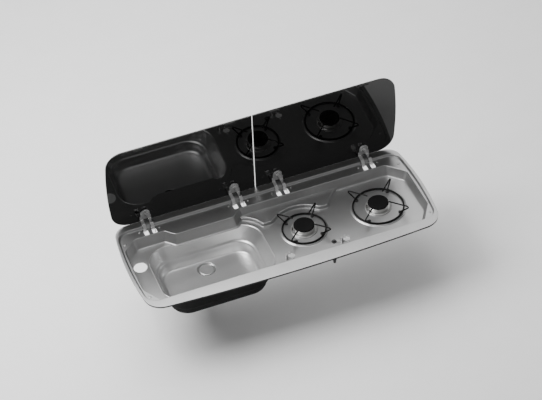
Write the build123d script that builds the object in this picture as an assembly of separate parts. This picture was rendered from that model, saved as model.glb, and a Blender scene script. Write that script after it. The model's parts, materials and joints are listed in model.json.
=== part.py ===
from build123d import *
from build123d.topology import SkipClean
import math
import os

# Hob and sink combination for a camper kitchen: one pressed steel tray with a bowl on the left, two gas
# burners on the right and a glass lid in two leaves. Millimetres. X runs along the tray to the right, Y to
# the back, Z up. The origin is the middle of the tray on the top face of its rim.

# Tray rim
TRAY_LENGTH = 900.0
TRAY_DEPTH = 370.0
SHEET = 0.8
SIDE_BOW = 16.6
FRONT_BOW = 16.0
REAR_BOW = 2.2
FRONT_CORNER_RADIUS = 55.0
REAR_CORNER_RADIUS = 45.0

# Shallow recess inside the rim, which carries the hinges and the fixing screws
RECESS_SIDE_RIM = 9.0
RECESS_FRONT_RIM = 45.0
RECESS_REAR_RIM = 26.0
RECESS_BOW = 10.0
RECESS_DROP = 7.0
RECESS_SLOPE = 3.0
RECESS_RADIUS = 36.0

# Deep pocket for the burners and the tap ledge
DECK_DROP = 37.0
POCKET_LEFT = 430.0
POCKET_RIGHT = 431.0
POCKET_FRONT_RIM = 48.0
POCKET_REAR_RIM = 61.0
FRONT_CUT_X = 36.0
FRONT_CUT_Y = 60.0
REAR_RIGHT_CUT_X = 48.0
REAR_RIGHT_CUT_Y = 50.0
REAR_LEFT_CUT_X = 38.0
REAR_LEFT_CUT_Y = 36.0
BULGE_REACH = 26.5
BULGE_LEFT = -288.0
BULGE_RIGHT = -86.0
BULGE_SLANT = 26.0
FRONT_WALL_SLOPE = 5.0
RIGHT_WALL_SLOPE = 9.0
REAR_WALL_SLOPE = 12.0
LEFT_WALL_SLOPE = 2.0
POCKET_RADIUS = 16.0
POCKET_CORNER_RADIUS = 22.0
BULGE_RADIUS = 10.0
POCKET_FLOOR_RADIUS = 5.0

# Wavy ledge behind the left burner and the round pads under the burners
LEDGE_RISE = 9.5
LEDGE_SLOPE = 3.0
LEDGE_FRONT = 57.0
LEDGE_LEFT = -92.0
LEDGE_RIGHT = 262.0
LEDGE_LEFT_SWEEP = 96.0
LEDGE_RIGHT_SWEEP = 146.0
LEDGE_BOWL_MARGIN = 18.0
LEDGE_TIP_RADIUS = 12.0
PAD_RISE = 3.0
PAD_SLOPE = 3.5

# Bowl
BOWL_LEFT = -384.0
BOWL_RIGHT = -24.0
BOWL_FRONT_RIM = 45.5
BOWL_REAR_RIM = 88.5
BOWL_RADIUS = 62.0
BOWL_DEPTH = 115.0
BOWL_FOLD_DEPTH = 80.0
BOWL_FOLD_HEIGHT = 5.0
BOWL_FOLD_INSET = 7.0
BOWL_LEFT_SLOPE = 20.0
BOWL_RIGHT_SLOPE = 37.0
BOWL_FRONT_SLOPE = 9.0
BOWL_REAR_SLOPE = 12.0
BOWL_FOOT_INSET = 5.0
BOWL_FLOOR_RADIUS = 20.0
BOWL_COAT = 1.0
COAT_TOP_DROP = 14.0

# Waste fitting
DRAIN_X = -212.5
DRAIN_REAR_GAP = 61.5
DRAIN_DISH_RADIUS = 27.0
DRAIN_DISH_DROP = 6.0
DRAIN_HOLE_RADIUS = 20.0
WASTE_WALL = 1.5
WASTE_LENGTH = 30.0
WASTE_BODY_WALL = 3.0
WASTE_BODY_LENGTH = 34.0
WASTE_GASKET = 2.0
SPIGOT_RADIUS = 12.5
SPIGOT_WALL = 2.5
SPIGOT_LENGTH = 34.0
SPIGOT_BARB = 0.9
SPIGOT_BARB_COUNT = 3
PLUG_RADIUS = 21.0
PLUG_THICKNESS = 2.0
PLUG_EDGE_RADIUS = 0.8
PLUG_STEM_RADIUS = 3.0
PLUG_STEM_LENGTH = 14.0
PLUG_SEAL_THICKNESS = 3.0

# Tap hole
TAP_X = -403.0
TAP_Y = 39.0
TAP_HOLE_RADIUS = 19.5

# Burners, left then right
BURNER_X = (77.0, 307.0)
BURNER_Y = -5.7
PAD_RADIUS = (66.0, 78.0)
TRIVET_RADIUS = (62.5, 73.6)
TRIVET_REACH = (90.0, 100.0)
TRIVET_WIRE = 5.0
PRONG_WIRE = 4.0
PRONG_RISE = 28.0
PRONG_INNER_REACH = 34.0
PRONG_BEND_RADIUS = 4.0
PRONG_WELD_SHARE = 0.93
PRONG_COUNT = 4
PRONG_START = 45.0
FOOT_RADIUS = 4.5
FOOT_DROP = 0.8
FOOT_WRAP = 1.0
BURNER_HOLE_RADIUS = 29.0
BASE_RADIUS = 38.7
BASE_THICKNESS = 2.5
BASE_LIP = 1.2
BASE_LIP_WIDTH = 2.0
CROWN_RADIUS = 26.0
CROWN_HEIGHT = 12.0
CROWN_WALL = 4.0
FLAME_SLOT_COUNT = 24
FLAME_SLOT_WIDTH = 1.6
FLAME_SLOT_HEIGHT = 3.0
CAP_RADIUS = 30.5
CAP_THICKNESS = 5.0
CAP_EDGE_RADIUS = 2.0
CAP_SPIGOT = 3.0
CAP_SPIGOT_GAP = 0.5
CUP_RADIUS = 27.0
CUP_HEIGHT = 30.0
CUP_WALL = 2.0
CUP_FLANGE_RADIUS = 38.5
CUP_FLANGE = 2.0
CUP_PORT_RADIUS = 8.0
CUP_PORT_LENGTH = 9.0
JET_RADIUS = 5.0
JET_BORE_RADIUS = 1.0
JET_LENGTH = 14.0
PROBE_RADIUS = 1.8
PROBE_REACH = 33.6
PROBE_RISE = 12.0
PROBE_TAIL = 20.0
PROBE_HOLE_GAP = 0.4
ELECTRODE_ANGLE = 168.0
THERMOCOUPLE_ANGLE = 192.0

# Gas side
PEEP_X = (6.7, 175.0)
PEEP_BURNER_GAP = 81.3
PEEP_RADIUS = 10.5
SPINDLE_OFFSET_X = -17.0
SPINDLE_OFFSET_Y = -8.0
VALVE_SCREW_SPACING = 27.0
VALVE_SCREW_LENGTH = 9.0
VALVE_WIDTH = 20.0
VALVE_DEPTH = 26.0
VALVE_HEIGHT = 26.0
VALVE_PLATE = 3.0
VALVE_PLATE_MARGIN = 5.0
VALVE_NECK = 6.0
CONE_RADIUS = 6.0
CONE_HEIGHT = 15.0
CONE_SOCKET = 9.0
SPINDLE_RADIUS = 4.0
SPINDLE_RISE = 17.0
SPINDLE_FLAT = 1.5
SPINDLE_FLAT_LENGTH = 9.0
SPINDLE_TRAVEL = 3.0
RAIL_PEEP_GAP = 37.0
RAIL_Z = -56.0
RAIL_RADIUS = 5.0
RAIL_BORE_RADIUS = 3.5
RAIL_OVERHANG = 12.0
INLET_X = 122.0
INLET_RADIUS = 4.0
INLET_WALL = 1.0
INLET_OLIVE = 0.6
INLET_TAIL_RADIUS = 3.6
INLET_LENGTH = 18.0
INLET_NUT_RADIUS = 6.5
INLET_NUT_LENGTH = 7.0
PIPE_RADIUS = 3.0
PIPE_WALL = 0.8
PIPE_BEND_RADIUS = 8.0
PIPE_TURN_PEEP_GAP = 29.5
IGNITER_X = 137.0
IGNITER_PEEP_GAP = 1.0
IGNITER_RADIUS = 6.5
IGNITER_LENGTH = 28.0
IGNITER_COLLAR_RADIUS = 7.5
IGNITER_COLLAR = 1.2
BUTTON_RADIUS = 4.0
BUTTON_RISE = 5.0
BUTTON_LENGTH = 14.0
BUTTON_TRAVEL = 3.0

# Seal
SEAL_WIDTH = 9.0
SEAL_HEIGHT = 5.5
SEAL_INSET = 0.6

# Fixing screws in the four corners of the recess
FIXING_SIDE_RIM = 28.5
FIXING_REAR_RIM = 71.5
FIXING_HOLE_RADIUS = 2.6
FIXING_HEAD_RADIUS = 4.2
FIXING_HEAD_HEIGHT = 1.8
FIXING_NECK_RADIUS = 2.3
FIXING_NECK = 3.0
FIXING_SHANK_RADIUS = 2.0
FIXING_LENGTH = 32.0

# Lid leaves
LID_WIDTH = 881.6
LID_HEIGHT = 290.0
LID_GLASS = 4.0
LID_RADIUS = 53.0
LID_BOW = 9.8
LID_GAP = 2.4
LID_INNER_RADIUS = 3.0
LID_CLOSED_EDGE_RIM = 42.0
LID_CLOSED_Z = 2.5
LID_OPEN_EDGE_RIM = 3.2
LID_OPEN_EDGE_Z = 1.0
LID_OPEN_ANGLE = 85.6
BUFFER_LENGTH = 30.0
BUFFER_WIDTH = 5.0
BUFFER_GAP = 0.3
BUFFER_INSET = 3.6

# Hinges, from left to right
HINGE_X = (-338.0, -67.0, 67.0, 338.0)
HINGE_NAMES = ("outer_left", "inner_left", "inner_right", "outer_right")
HINGE_SCREW_SPACING = 60.0
HINGE_SCREW_REAR_RIM = 39.0
HINGE_SCREW_RADIUS = 1.9
HINGE_SCREW_LENGTH = 9.0
HINGE_SCREW_HEAD = 3.4
HINGE_SCREW_HEAD_HEIGHT = 1.6
ARM_SPACING = 24.0
ARM_WIDTH = 10.0
ARM_THICKNESS = 2.5
ARM_BEND_RADIUS = 4.0
ARM_EYE_RADIUS = 5.0
ARM_DIP_Y = 10.1
ARM_DIP_Z = 6.2
ARM_NECK_Y = 11.1
ARM_NECK_Z = 16.2
ARM_CREST_Y = 1.6
ARM_CREST_Z = 24.4
TAB_WIDTH = 28.0
TAB_START = 8.0
TAB_LENGTH = 38.0
SLOT_FRONT_RIM = 58.0
SLOT_REAR_RIM = 30.0
SLOT_CLEARANCE = 1.5
BRACKET_SHEET = 1.5
BRACKET_LENGTH = 74.0
BRACKET_FRONT_RIM = 59.0
BRACKET_REAR_RIM = 27.5
CHEEK_FRONT_RIM = 34.0
CHEEK_REACH = 8.0
CHEEK_CLEARANCE = 0.6
PIN_RADIUS = 2.5
PIN_HEAD_RADIUS = 4.0
PIN_HEAD_THICKNESS = 1.5
GLASS_PAD = 1.0
GLASS_PAD_RADIUS = 11.0
GLASS_HOLE_RADIUS = 4.0
BACKPLATE_THICKNESS = 2.0
CLAMP_SCREW_RADIUS = 2.5
CLAMP_HEAD_RADIUS = 4.6
CLAMP_HEAD_HEIGHT = 2.2

# Fits
RUNNING_FIT = 0.05
SLIP_FIT = 0.3
OVERRUN = 2.0

HALF_LENGTH = TRAY_LENGTH / 2
REAR_Y = TRAY_DEPTH / 2
FRONT_Y = -TRAY_DEPTH / 2
RECESS_FRONT_Y = FRONT_Y + RECESS_FRONT_RIM
RECESS_REAR_Y = REAR_Y - RECESS_REAR_RIM
POCKET_FRONT = REAR_Y - POCKET_FRONT_RIM
POCKET_REAR = REAR_Y - POCKET_REAR_RIM
BULGE_Y = POCKET_REAR - BULGE_REACH
BOWL_FRONT = FRONT_Y + BOWL_FRONT_RIM
BOWL_REAR = REAR_Y - BOWL_REAR_RIM
DRAIN_Y = BOWL_REAR - DRAIN_REAR_GAP
PEEP_Y = BURNER_Y - PEEP_BURNER_GAP
RAIL_Y = PEEP_Y - RAIL_PEEP_GAP
PIPE_TURN_Y = PEEP_Y + PIPE_TURN_PEEP_GAP
IGNITER_Y = PEEP_Y + IGNITER_PEEP_GAP
FIXING_X = HALF_LENGTH - FIXING_SIDE_RIM
FIXING_Y = REAR_Y - FIXING_REAR_RIM
LID_CLOSED_EDGE_Y = REAR_Y - LID_CLOSED_EDGE_RIM
LID_OPEN_EDGE_Y = REAR_Y - LID_OPEN_EDGE_RIM
HINGE_SCREW_Y = REAR_Y - HINGE_SCREW_REAR_RIM
SLOT_FRONT = REAR_Y - SLOT_FRONT_RIM
SLOT_REAR = REAR_Y - SLOT_REAR_RIM
BRACKET_FRONT = REAR_Y - BRACKET_FRONT_RIM
BRACKET_REAR = REAR_Y - BRACKET_REAR_RIM
CHEEK_FRONT = REAR_Y - CHEEK_FRONT_RIM
PAD_Z = PAD_RISE - DECK_DROP
UNDER_DECK = -DECK_DROP - SHEET
UNDER_PAD = PAD_Z - SHEET
TRIVET_Z = PAD_Z + FOOT_DROP + TRIVET_WIRE / 2
BASE_TOP = PAD_Z + BASE_THICKNESS
CROWN_TOP = BASE_TOP + CROWN_HEIGHT
SPINDLE_X = tuple(x + SPINDLE_OFFSET_X for x in PEEP_X)
SPINDLE_Y = PEEP_Y + SPINDLE_OFFSET_Y
SPINDLE_HOLE_RADIUS = SPINDLE_RADIUS + SLIP_FIT
SCREW_HOLE_RADIUS = HINGE_SCREW_RADIUS + RUNNING_FIT
PROBE_ANGLES = (ELECTRODE_ANGLE, THERMOCOUPLE_ANGLE)
DISH_FLOOR = -BOWL_DEPTH - DRAIN_DISH_DROP
WASTE_TOP = DISH_FLOOR + WASTE_WALL
GASKET_TOP = DISH_FLOOR - SHEET - BOWL_COAT
SHELF = -RECESS_DROP
UNDER_SHELF = SHELF - SHEET
TAB_HOLE = TAB_START + TAB_LENGTH - TAB_WIDTH / 2
SIDES = ("left", "right")


def moved_outline(points, shifts):
    """The corners of a closed anticlockwise outline with each side moved outwards by its own shift."""
    count = len(points)
    lines = []
    for i in range(count):
        (ax, ay), (bx, by) = points[i], points[(i + 1) % count]
        length = math.hypot(bx - ax, by - ay)
        nx, ny = (by - ay) / length, (ax - bx) / length
        lines.append((nx, ny, nx * ax + ny * ay + shifts[i]))
    corners = []
    for i in range(count):
        (n1x, n1y, c1), (n2x, n2y, c2) = lines[i - 1], lines[i]
        det = n1x * n2y - n1y * n2x
        corners.append(((c1 * n2y - c2 * n1y) / det, (n1x * c2 - n2x * c1) / det))
    return corners


def grown_outline(points, radii, grow):
    """A closed anticlockwise outline and its corner radii, all grown outwards by the same amount."""
    count = len(points)
    new_radii = []
    for i in range(count):
        (ax, ay), (bx, by), (cx, cy) = points[i - 1], points[i], points[(i + 1) % count]
        turn = (bx - ax) * (cy - by) - (by - ay) * (cx - bx)
        new_radii.append(radii[i] + (grow if turn > 0 else -grow))
    return moved_outline(points, [grow] * count), new_radii


def outline_face(points, radii, z):
    """A flat face at height z inside a closed outline with rounded corners."""
    corners = [(x, y, z) for x, y in points]
    return make_face(FilletPolyline(*corners, radius=radii, close=True).edges())


def rounded_box_face(left, right, front, rear, radius, z):
    corners = [(left, front), (right, front), (right, rear), (left, rear)]
    return outline_face(corners, [radius] * len(corners), z)


def bowed_face(half, front, rear, bows, radii, z):
    """A face with bulging sides. bows are the side, front and rear ones, radii the front and rear ones."""
    side_bow, front_bow, rear_bow = bows
    x, y0, y1 = half - side_bow, front + front_bow, rear - rear_bow
    corners = [(-x, y0, z), (x, y0, z), (x, y1, z), (-x, y1, z)]
    middle = (y0 + y1) / 2
    front_middle, rear_middle = (0, front, z), (0, rear, z)
    right_middle, left_middle = (half, middle, z), (-half, middle, z)
    sides = [
        bowed_side(corners[0], front_middle, corners[1], front_bow),
        bowed_side(corners[1], right_middle, corners[2], side_bow),
        bowed_side(corners[2], rear_middle, corners[3], rear_bow),
        bowed_side(corners[3], left_middle, corners[0], side_bow),
    ]
    face = fillet([v for v in make_face(sides).vertices() if v.Y > middle], radii[1])
    return fillet([v for v in face.vertices() if v.Y < y0 + SHEET], radii[0])


def bowed_side(start, middle, end, bow):
    return ThreePointArc(start, middle, end) if bow else Line(start, end)


def rim_face(inset, z):
    """The tray's outline, drawn in by inset."""
    bows = (SIDE_BOW, FRONT_BOW, REAR_BOW)
    radii = (FRONT_CORNER_RADIUS - inset, REAR_CORNER_RADIUS - inset)
    return bowed_face(HALF_LENGTH - inset, FRONT_Y + inset, REAR_Y - inset, bows, radii, z)


def disc(x, y, z, radius, height):
    """A round solid that stands on height z."""
    return Pos(x, y, z) * Cylinder(radius, height, align=(Align.CENTER, Align.CENTER, Align.MIN))


def ring(x, y, z, outer, inner, height):
    return disc(x, y, z, outer, height) - disc(x, y, z - OVERRUN, inner, height + 2 * OVERRUN)


def frustum(x, y, z, foot, top, height):
    cone = Cone(foot, top, height, align=(Align.CENTER, Align.CENTER, Align.MIN))
    return Pos(x, y, z) * cone


def block(x0, x1, y0, y1, z0, z1):
    """A box between two corners."""
    return Pos((x0 + x1) / 2, (y0 + y1) / 2, (z0 + z1) / 2) * Box(x1 - x0, y1 - y0, z1 - z0)


def hexagon(x, y, z, radius, height):
    return extrude(Pos(x, y, z) * RegularPolygon(radius, 6), height)


def bent_rod(corners, radius, bend):
    """A round rod along straight runs, with an arc of the bend's radius at each corner."""
    points = [Vector(*corner) for corner in corners]
    start, body = points[0], None
    for i in range(1, len(points)):
        along = (points[i] - points[i - 1]).normalized()
        end, arc = points[i], None
        if i < len(points) - 1:
            after = (points[i + 1] - points[i]).normalized()
            turn = along.get_angle(after)
            cut = bend * math.tan(math.radians(turn) / 2)
            end = points[i] - along * cut
            axis = along.cross(after).normalized()
            centre = end + axis.cross(along) * bend
            arc = revolve(Plane(origin=end, z_dir=along) * Circle(radius), Axis(centre, axis), turn)
        run = extrude(Plane(origin=start, z_dir=along) * Circle(radius), (end - start).length)
        body = run if body is None else body + run
        if arc is not None:
            body += arc
            start = points[i] + after * cut
    return body


# The pressed shape is cut as a void, and the same void grown by the sheet gives its outside


def recess_face(grow, z):
    half, radius = HALF_LENGTH - RECESS_SIDE_RIM + grow, RECESS_RADIUS + grow
    front, rear = RECESS_FRONT_Y - grow, RECESS_REAR_Y + grow
    return bowed_face(half, front, rear, (RECESS_BOW, 0, 0), (radius, radius), z)


def recess_void(grow):
    top = recess_face(grow, 0)
    low = recess_face(grow - RECESS_SLOPE, -RECESS_DROP - grow)
    return loft([top, low], ruled=True) + extrude(top, OVERRUN)


def pocket_outline():
    points = [
        (FRONT_CUT_X - POCKET_LEFT, -POCKET_FRONT),
        (POCKET_RIGHT - FRONT_CUT_X, -POCKET_FRONT),
        (POCKET_RIGHT, FRONT_CUT_Y - POCKET_FRONT),
        (POCKET_RIGHT, POCKET_REAR - REAR_RIGHT_CUT_Y),
        (POCKET_RIGHT - REAR_RIGHT_CUT_X, POCKET_REAR),
        (BULGE_RIGHT + BULGE_SLANT / 2, POCKET_REAR),
        (BULGE_RIGHT - BULGE_SLANT / 2, BULGE_Y),
        (BULGE_LEFT + BULGE_SLANT / 2, BULGE_Y),
        (BULGE_LEFT - BULGE_SLANT / 2, POCKET_REAR),
        (REAR_LEFT_CUT_X - POCKET_LEFT, POCKET_REAR),
        (-POCKET_LEFT, POCKET_REAR - REAR_LEFT_CUT_Y),
        (-POCKET_LEFT, FRONT_CUT_Y - POCKET_FRONT),
    ]
    slopes = [FRONT_WALL_SLOPE, RIGHT_WALL_SLOPE, RIGHT_WALL_SLOPE, RIGHT_WALL_SLOPE]
    slopes += [REAR_WALL_SLOPE] * 6
    slopes += [LEFT_WALL_SLOPE, FRONT_WALL_SLOPE]
    radii = [POCKET_RADIUS] * 3 + [POCKET_CORNER_RADIUS] * 2 + [BULGE_RADIUS] * 4
    radii += [POCKET_CORNER_RADIUS] * 2 + [POCKET_RADIUS]
    return points, slopes, radii


def pocket_void(grow):
    points, slopes, radii = pocket_outline()
    foot_points = moved_outline(points, [-s for s in slopes])
    top_points, top_radii = grown_outline(points, radii, grow)
    low_points, low_radii = grown_outline(foot_points, radii, grow)
    top = outline_face(top_points, top_radii, -RECESS_DROP)
    low = outline_face(low_points, low_radii, -DECK_DROP - grow)
    body = loft([top, low], ruled=True)
    foot = body.edges().filter_by(lambda e: e.center().Z < -DECK_DROP - grow + SHEET / 2)
    body = fillet(foot, POCKET_FLOOR_RADIUS + grow)
    return body + extrude(top, RECESS_DROP + OVERRUN)


def ledge_face(shrink, z):
    bowl_corner_x = BOWL_RIGHT - BOWL_RADIUS - BOWL_RIGHT_SLOPE * DECK_DROP / BOWL_FOLD_DEPTH
    bowl_corner_y = BOWL_REAR - BOWL_RADIUS
    left, right = LEDGE_LEFT + shrink, LEDGE_RIGHT - shrink
    front, rear = LEDGE_FRONT + shrink, POCKET_REAR + OVERRUN
    face = Pos((left + right) / 2, (front + rear) / 2, z) * Rectangle(right - left, rear - front)
    face -= Pos(BURNER_X[0], BURNER_Y, z) * Circle(LEDGE_LEFT_SWEEP + shrink)
    face -= Pos(BURNER_X[1], BURNER_Y, z) * Circle(LEDGE_RIGHT_SWEEP + shrink)
    face -= Pos(bowl_corner_x, bowl_corner_y, z) * Circle(BOWL_RADIUS + LEDGE_BOWL_MARGIN + shrink)
    tips = [v for v in face.vertices() if v.Y < front + BULGE_RADIUS]
    return fillet(tips, LEDGE_TIP_RADIUS - shrink)


def ledge_solid(shrink):
    foot = ledge_face(shrink - LEDGE_SLOPE, -DECK_DROP - OVERRUN)
    top = ledge_face(shrink, -DECK_DROP + LEDGE_RISE - shrink)
    return loft([foot, top], ruled=True)


def pad_solid(side, shrink):
    foot = PAD_RADIUS[side] + PAD_SLOPE - shrink
    height = OVERRUN + PAD_RISE - shrink
    top = PAD_RADIUS[side] - shrink
    return frustum(BURNER_X[side], BURNER_Y, -DECK_DROP - OVERRUN, foot, top, height)


def bowl_outline(depth_share, grow, z):
    left = BOWL_LEFT + BOWL_LEFT_SLOPE * depth_share - grow
    right = BOWL_RIGHT - BOWL_RIGHT_SLOPE * depth_share + grow
    front = BOWL_FRONT + BOWL_FRONT_SLOPE * depth_share - grow
    rear = BOWL_REAR - BOWL_REAR_SLOPE * depth_share + grow
    return rounded_box_face(left, right, front, rear, BOWL_RADIUS + grow, z)


def bowl_void(grow):
    fold_z, foot_z = -BOWL_FOLD_DEPTH, -BOWL_DEPTH - grow
    top = bowl_outline(0, grow, 0)
    fold_top = bowl_outline(1, grow, fold_z)
    fold_low = bowl_outline(1, grow - BOWL_FOLD_INSET, fold_z - BOWL_FOLD_HEIGHT)
    foot = bowl_outline(1, grow - BOWL_FOLD_INSET - BOWL_FOOT_INSET, foot_z)
    lower = loft([fold_low, foot], ruled=True)
    bottom = lower.edges().filter_by(lambda e: e.center().Z < foot_z + SHEET / 2)
    lower = fillet(bottom, BOWL_FLOOR_RADIUS + grow)
    body = lower + loft([fold_top, fold_low], ruled=True) + loft([top, fold_top], ruled=True)
    body += extrude(top, OVERRUN)
    dish = disc(DRAIN_X, DRAIN_Y, foot_z - DRAIN_DISH_DROP, DRAIN_DISH_RADIUS + grow, DRAIN_DISH_DROP)
    return body + dish


def deck_void(grow):
    pocket = pocket_void(grow) - ledge_solid(grow)
    for side in range(len(SIDES)):
        pocket -= pad_solid(side, grow)
    return pocket + recess_void(grow)


def hinge_slots(z0, z1):
    slots = []
    half = ARM_WIDTH / 2 + SLOT_CLEARANCE
    for x in HINGE_X:
        for arm in (x - ARM_SPACING / 2, x + ARM_SPACING / 2):
            slots.append(block(arm - half, arm + half, SLOT_FRONT, SLOT_REAR, z0, z1))
    return slots


def fixing_places():
    return [(sx * FIXING_X, sy * FIXING_Y) for sx in (-1, 1) for sy in (-1, 1)]


def hinge_screw_places():
    half = HINGE_SCREW_SPACING / 2
    return [(x + s * half, HINGE_SCREW_Y) for x in HINGE_X for s in (-1, 1)]


def valve_screw_places():
    half = VALVE_SCREW_SPACING / 2
    return [(x, PEEP_Y + s * half) for x in PEEP_X for s in (-1, 1)]


def probe_places(angles):
    places = []
    for x in BURNER_X:
        for angle in angles:
            turn = math.radians(angle)
            places.append((x + PROBE_REACH * math.cos(turn), BURNER_Y + PROBE_REACH * math.sin(turn)))
    return places


def through_holes(places, radius):
    low = UNDER_DECK - VALVE_PLATE - VALVE_HEIGHT - OVERRUN
    return [disc(x, y, low, radius, OVERRUN - low) for x, y in places]


DECK_OUTSIDE = deck_void(SHEET)
BOWL_INSIDE = bowl_void(0)
BOWL_OUTSIDE = bowl_void(SHEET)


def deck():
    body = extrude(rim_face(0, 0), -SHEET) + DECK_OUTSIDE
    body -= deck_void(0)
    body -= BOWL_INSIDE
    body -= extrude(rim_face(-OVERRUN, 0), OVERRUN + SHEET)
    for x in BURNER_X:
        body -= disc(x, BURNER_Y, UNDER_PAD - OVERRUN, BURNER_HOLE_RADIUS, OVERRUN + RECESS_DROP)
    body -= through_holes([(TAP_X, TAP_Y)], TAP_HOLE_RADIUS)
    body -= through_holes([(x, PEEP_Y) for x in PEEP_X], PEEP_RADIUS)
    body -= through_holes([(x, SPINDLE_Y) for x in SPINDLE_X], SPINDLE_HOLE_RADIUS)
    body -= through_holes([(IGNITER_X, IGNITER_Y)], IGNITER_RADIUS + SLIP_FIT)
    body -= through_holes(probe_places(PROBE_ANGLES), PROBE_RADIUS + PROBE_HOLE_GAP)
    body -= through_holes(valve_screw_places() + hinge_screw_places(), SCREW_HOLE_RADIUS)
    body -= through_holes(fixing_places(), FIXING_HOLE_RADIUS)
    return body - hinge_slots(UNDER_SHELF - OVERRUN, SHELF + OVERRUN)


def sink_bowl():
    body = BOWL_OUTSIDE - BOWL_INSIDE - DECK_OUTSIDE
    body -= block(-HALF_LENGTH, HALF_LENGTH, FRONT_Y, REAR_Y, -SHEET, DECK_DROP)
    return body - disc(DRAIN_X, DRAIN_Y, DISH_FLOOR - OVERRUN, DRAIN_HOLE_RADIUS, OVERRUN + BOWL_COAT)


def bowl_coat():
    body = bowl_void(SHEET + BOWL_COAT) - BOWL_OUTSIDE - DECK_OUTSIDE
    body -= block(-HALF_LENGTH, HALF_LENGTH, FRONT_Y, REAR_Y, -COAT_TOP_DROP, DECK_DROP)
    drain = disc(DRAIN_X, DRAIN_Y, GASKET_TOP - OVERRUN, DRAIN_HOLE_RADIUS, DRAIN_DISH_DROP)
    return body - drain


def rim_seal():
    ring_face = rim_face(SEAL_INSET, -SHEET) - rim_face(SEAL_INSET + SEAL_WIDTH, -SHEET)
    body = extrude(ring_face, -SEAL_HEIGHT)
    return body - extrude(recess_face(SHEET + SLIP_FIT, -SHEET), -SEAL_HEIGHT)


def pan_screw(x, y, z, head_radius, head_height, shank_radius, length):
    """A screw whose head sits on height z."""
    head = disc(x, y, z, head_radius, head_height)
    head = fillet(head.edges().sort_by(Axis.Z)[-1], head_height / 2)
    cross = hexagon(x, y, z + head_height / 2, shank_radius / 2, head_height)
    return head - cross + disc(x, y, z - length, shank_radius, length)


def fixing_screws():
    sizes = (FIXING_HEAD_RADIUS, FIXING_HEAD_HEIGHT, FIXING_SHANK_RADIUS, FIXING_LENGTH)
    screws = []
    for x, y in fixing_places():
        neck = disc(x, y, SHELF - FIXING_NECK, FIXING_NECK_RADIUS, FIXING_NECK)
        screws.append(pan_screw(x, y, SHELF, *sizes) + neck)
    return screws


def hinge_screws():
    sizes = (HINGE_SCREW_HEAD, HINGE_SCREW_HEAD_HEIGHT, HINGE_SCREW_RADIUS, HINGE_SCREW_LENGTH)
    return [pan_screw(x, y, SHELF, *sizes) for x, y in hinge_screw_places()]


def valve_screws():
    sizes = (HINGE_SCREW_HEAD, HINGE_SCREW_HEAD_HEIGHT, HINGE_SCREW_RADIUS, VALVE_SCREW_LENGTH)
    return [pan_screw(x, y, -DECK_DROP, *sizes) for x, y in valve_screw_places()]


# Waste


def waste_flange():
    outer = DRAIN_HOLE_RADIUS - SLIP_FIT
    body = disc(DRAIN_X, DRAIN_Y, DISH_FLOOR, DRAIN_DISH_RADIUS - SLIP_FIT, WASTE_WALL)
    body += disc(DRAIN_X, DRAIN_Y, DISH_FLOOR - WASTE_LENGTH, outer, WASTE_LENGTH)
    length = WASTE_LENGTH + 2 * OVERRUN
    return body - disc(DRAIN_X, DRAIN_Y, DISH_FLOOR - length + OVERRUN, outer - WASTE_WALL, length)


def waste_gasket():
    inner = DRAIN_HOLE_RADIUS - SLIP_FIT + RUNNING_FIT
    return ring(DRAIN_X, DRAIN_Y, GASKET_TOP - WASTE_GASKET, DRAIN_DISH_RADIUS, inner, WASTE_GASKET)


def waste_body():
    top = GASKET_TOP - WASTE_GASKET
    bore = DRAIN_HOLE_RADIUS - SLIP_FIT + RUNNING_FIT
    foot = top - WASTE_BODY_LENGTH
    body = disc(DRAIN_X, DRAIN_Y, foot, bore + WASTE_BODY_WALL, WASTE_BODY_LENGTH)
    body += disc(DRAIN_X, DRAIN_Y, top - WASTE_BODY_WALL, DRAIN_DISH_RADIUS, WASTE_BODY_WALL)
    tip = foot - SPIGOT_LENGTH
    body += disc(DRAIN_X, DRAIN_Y, tip, SPIGOT_RADIUS, SPIGOT_LENGTH)
    pitch = SPIGOT_LENGTH / (SPIGOT_BARB_COUNT * 2)
    for i in range(SPIGOT_BARB_COUNT):
        low = foot - pitch * (i + 1)
        body += frustum(DRAIN_X, DRAIN_Y, low, SPIGOT_RADIUS, SPIGOT_RADIUS + SPIGOT_BARB, pitch / 2)
    body -= disc(DRAIN_X, DRAIN_Y, foot + WASTE_BODY_WALL, bore, WASTE_BODY_LENGTH)
    return body - disc(DRAIN_X, DRAIN_Y, tip - OVERRUN, SPIGOT_RADIUS - SPIGOT_WALL, WASTE_BODY_LENGTH * 2)


def waste_plug():
    body = disc(DRAIN_X, DRAIN_Y, WASTE_TOP, PLUG_RADIUS, PLUG_THICKNESS)
    body = fillet(body.edges().sort_by(Axis.Z)[-1], PLUG_EDGE_RADIUS)
    return body + disc(DRAIN_X, DRAIN_Y, WASTE_TOP - PLUG_STEM_LENGTH, PLUG_STEM_RADIUS, PLUG_STEM_LENGTH)


def plug_seal():
    outer = DRAIN_HOLE_RADIUS - SLIP_FIT - WASTE_WALL - SLIP_FIT
    low = WASTE_TOP - PLUG_SEAL_THICKNESS
    return ring(DRAIN_X, DRAIN_Y, low, outer, PLUG_STEM_RADIUS, PLUG_SEAL_THICKNESS)


# Burners


def prong_foot_reach(side):
    """How far out a prong's foot stands, so that its leg just presses into the ring."""
    ring_reach, tip, rise = TRIVET_RADIUS[side], TRIVET_REACH[side], PRONG_RISE
    gap = (TRIVET_WIRE + PRONG_WIRE) / 2 * PRONG_WELD_SHARE
    a = rise**2 - gap**2
    b = 2 * (gap**2 * tip - ring_reach * rise**2)
    c = (ring_reach * rise) ** 2 - gap**2 * (tip**2 + rise**2)
    return (-b - math.sqrt(b * b - 4 * a * c)) / (2 * a)


def prong(side):
    corners = [(PRONG_INNER_REACH, 0, PRONG_RISE), (TRIVET_REACH[side], 0, PRONG_RISE)]
    corners.append((prong_foot_reach(side), 0, 0))
    return bent_rod(corners, PRONG_WIRE / 2, PRONG_BEND_RADIUS)


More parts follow.
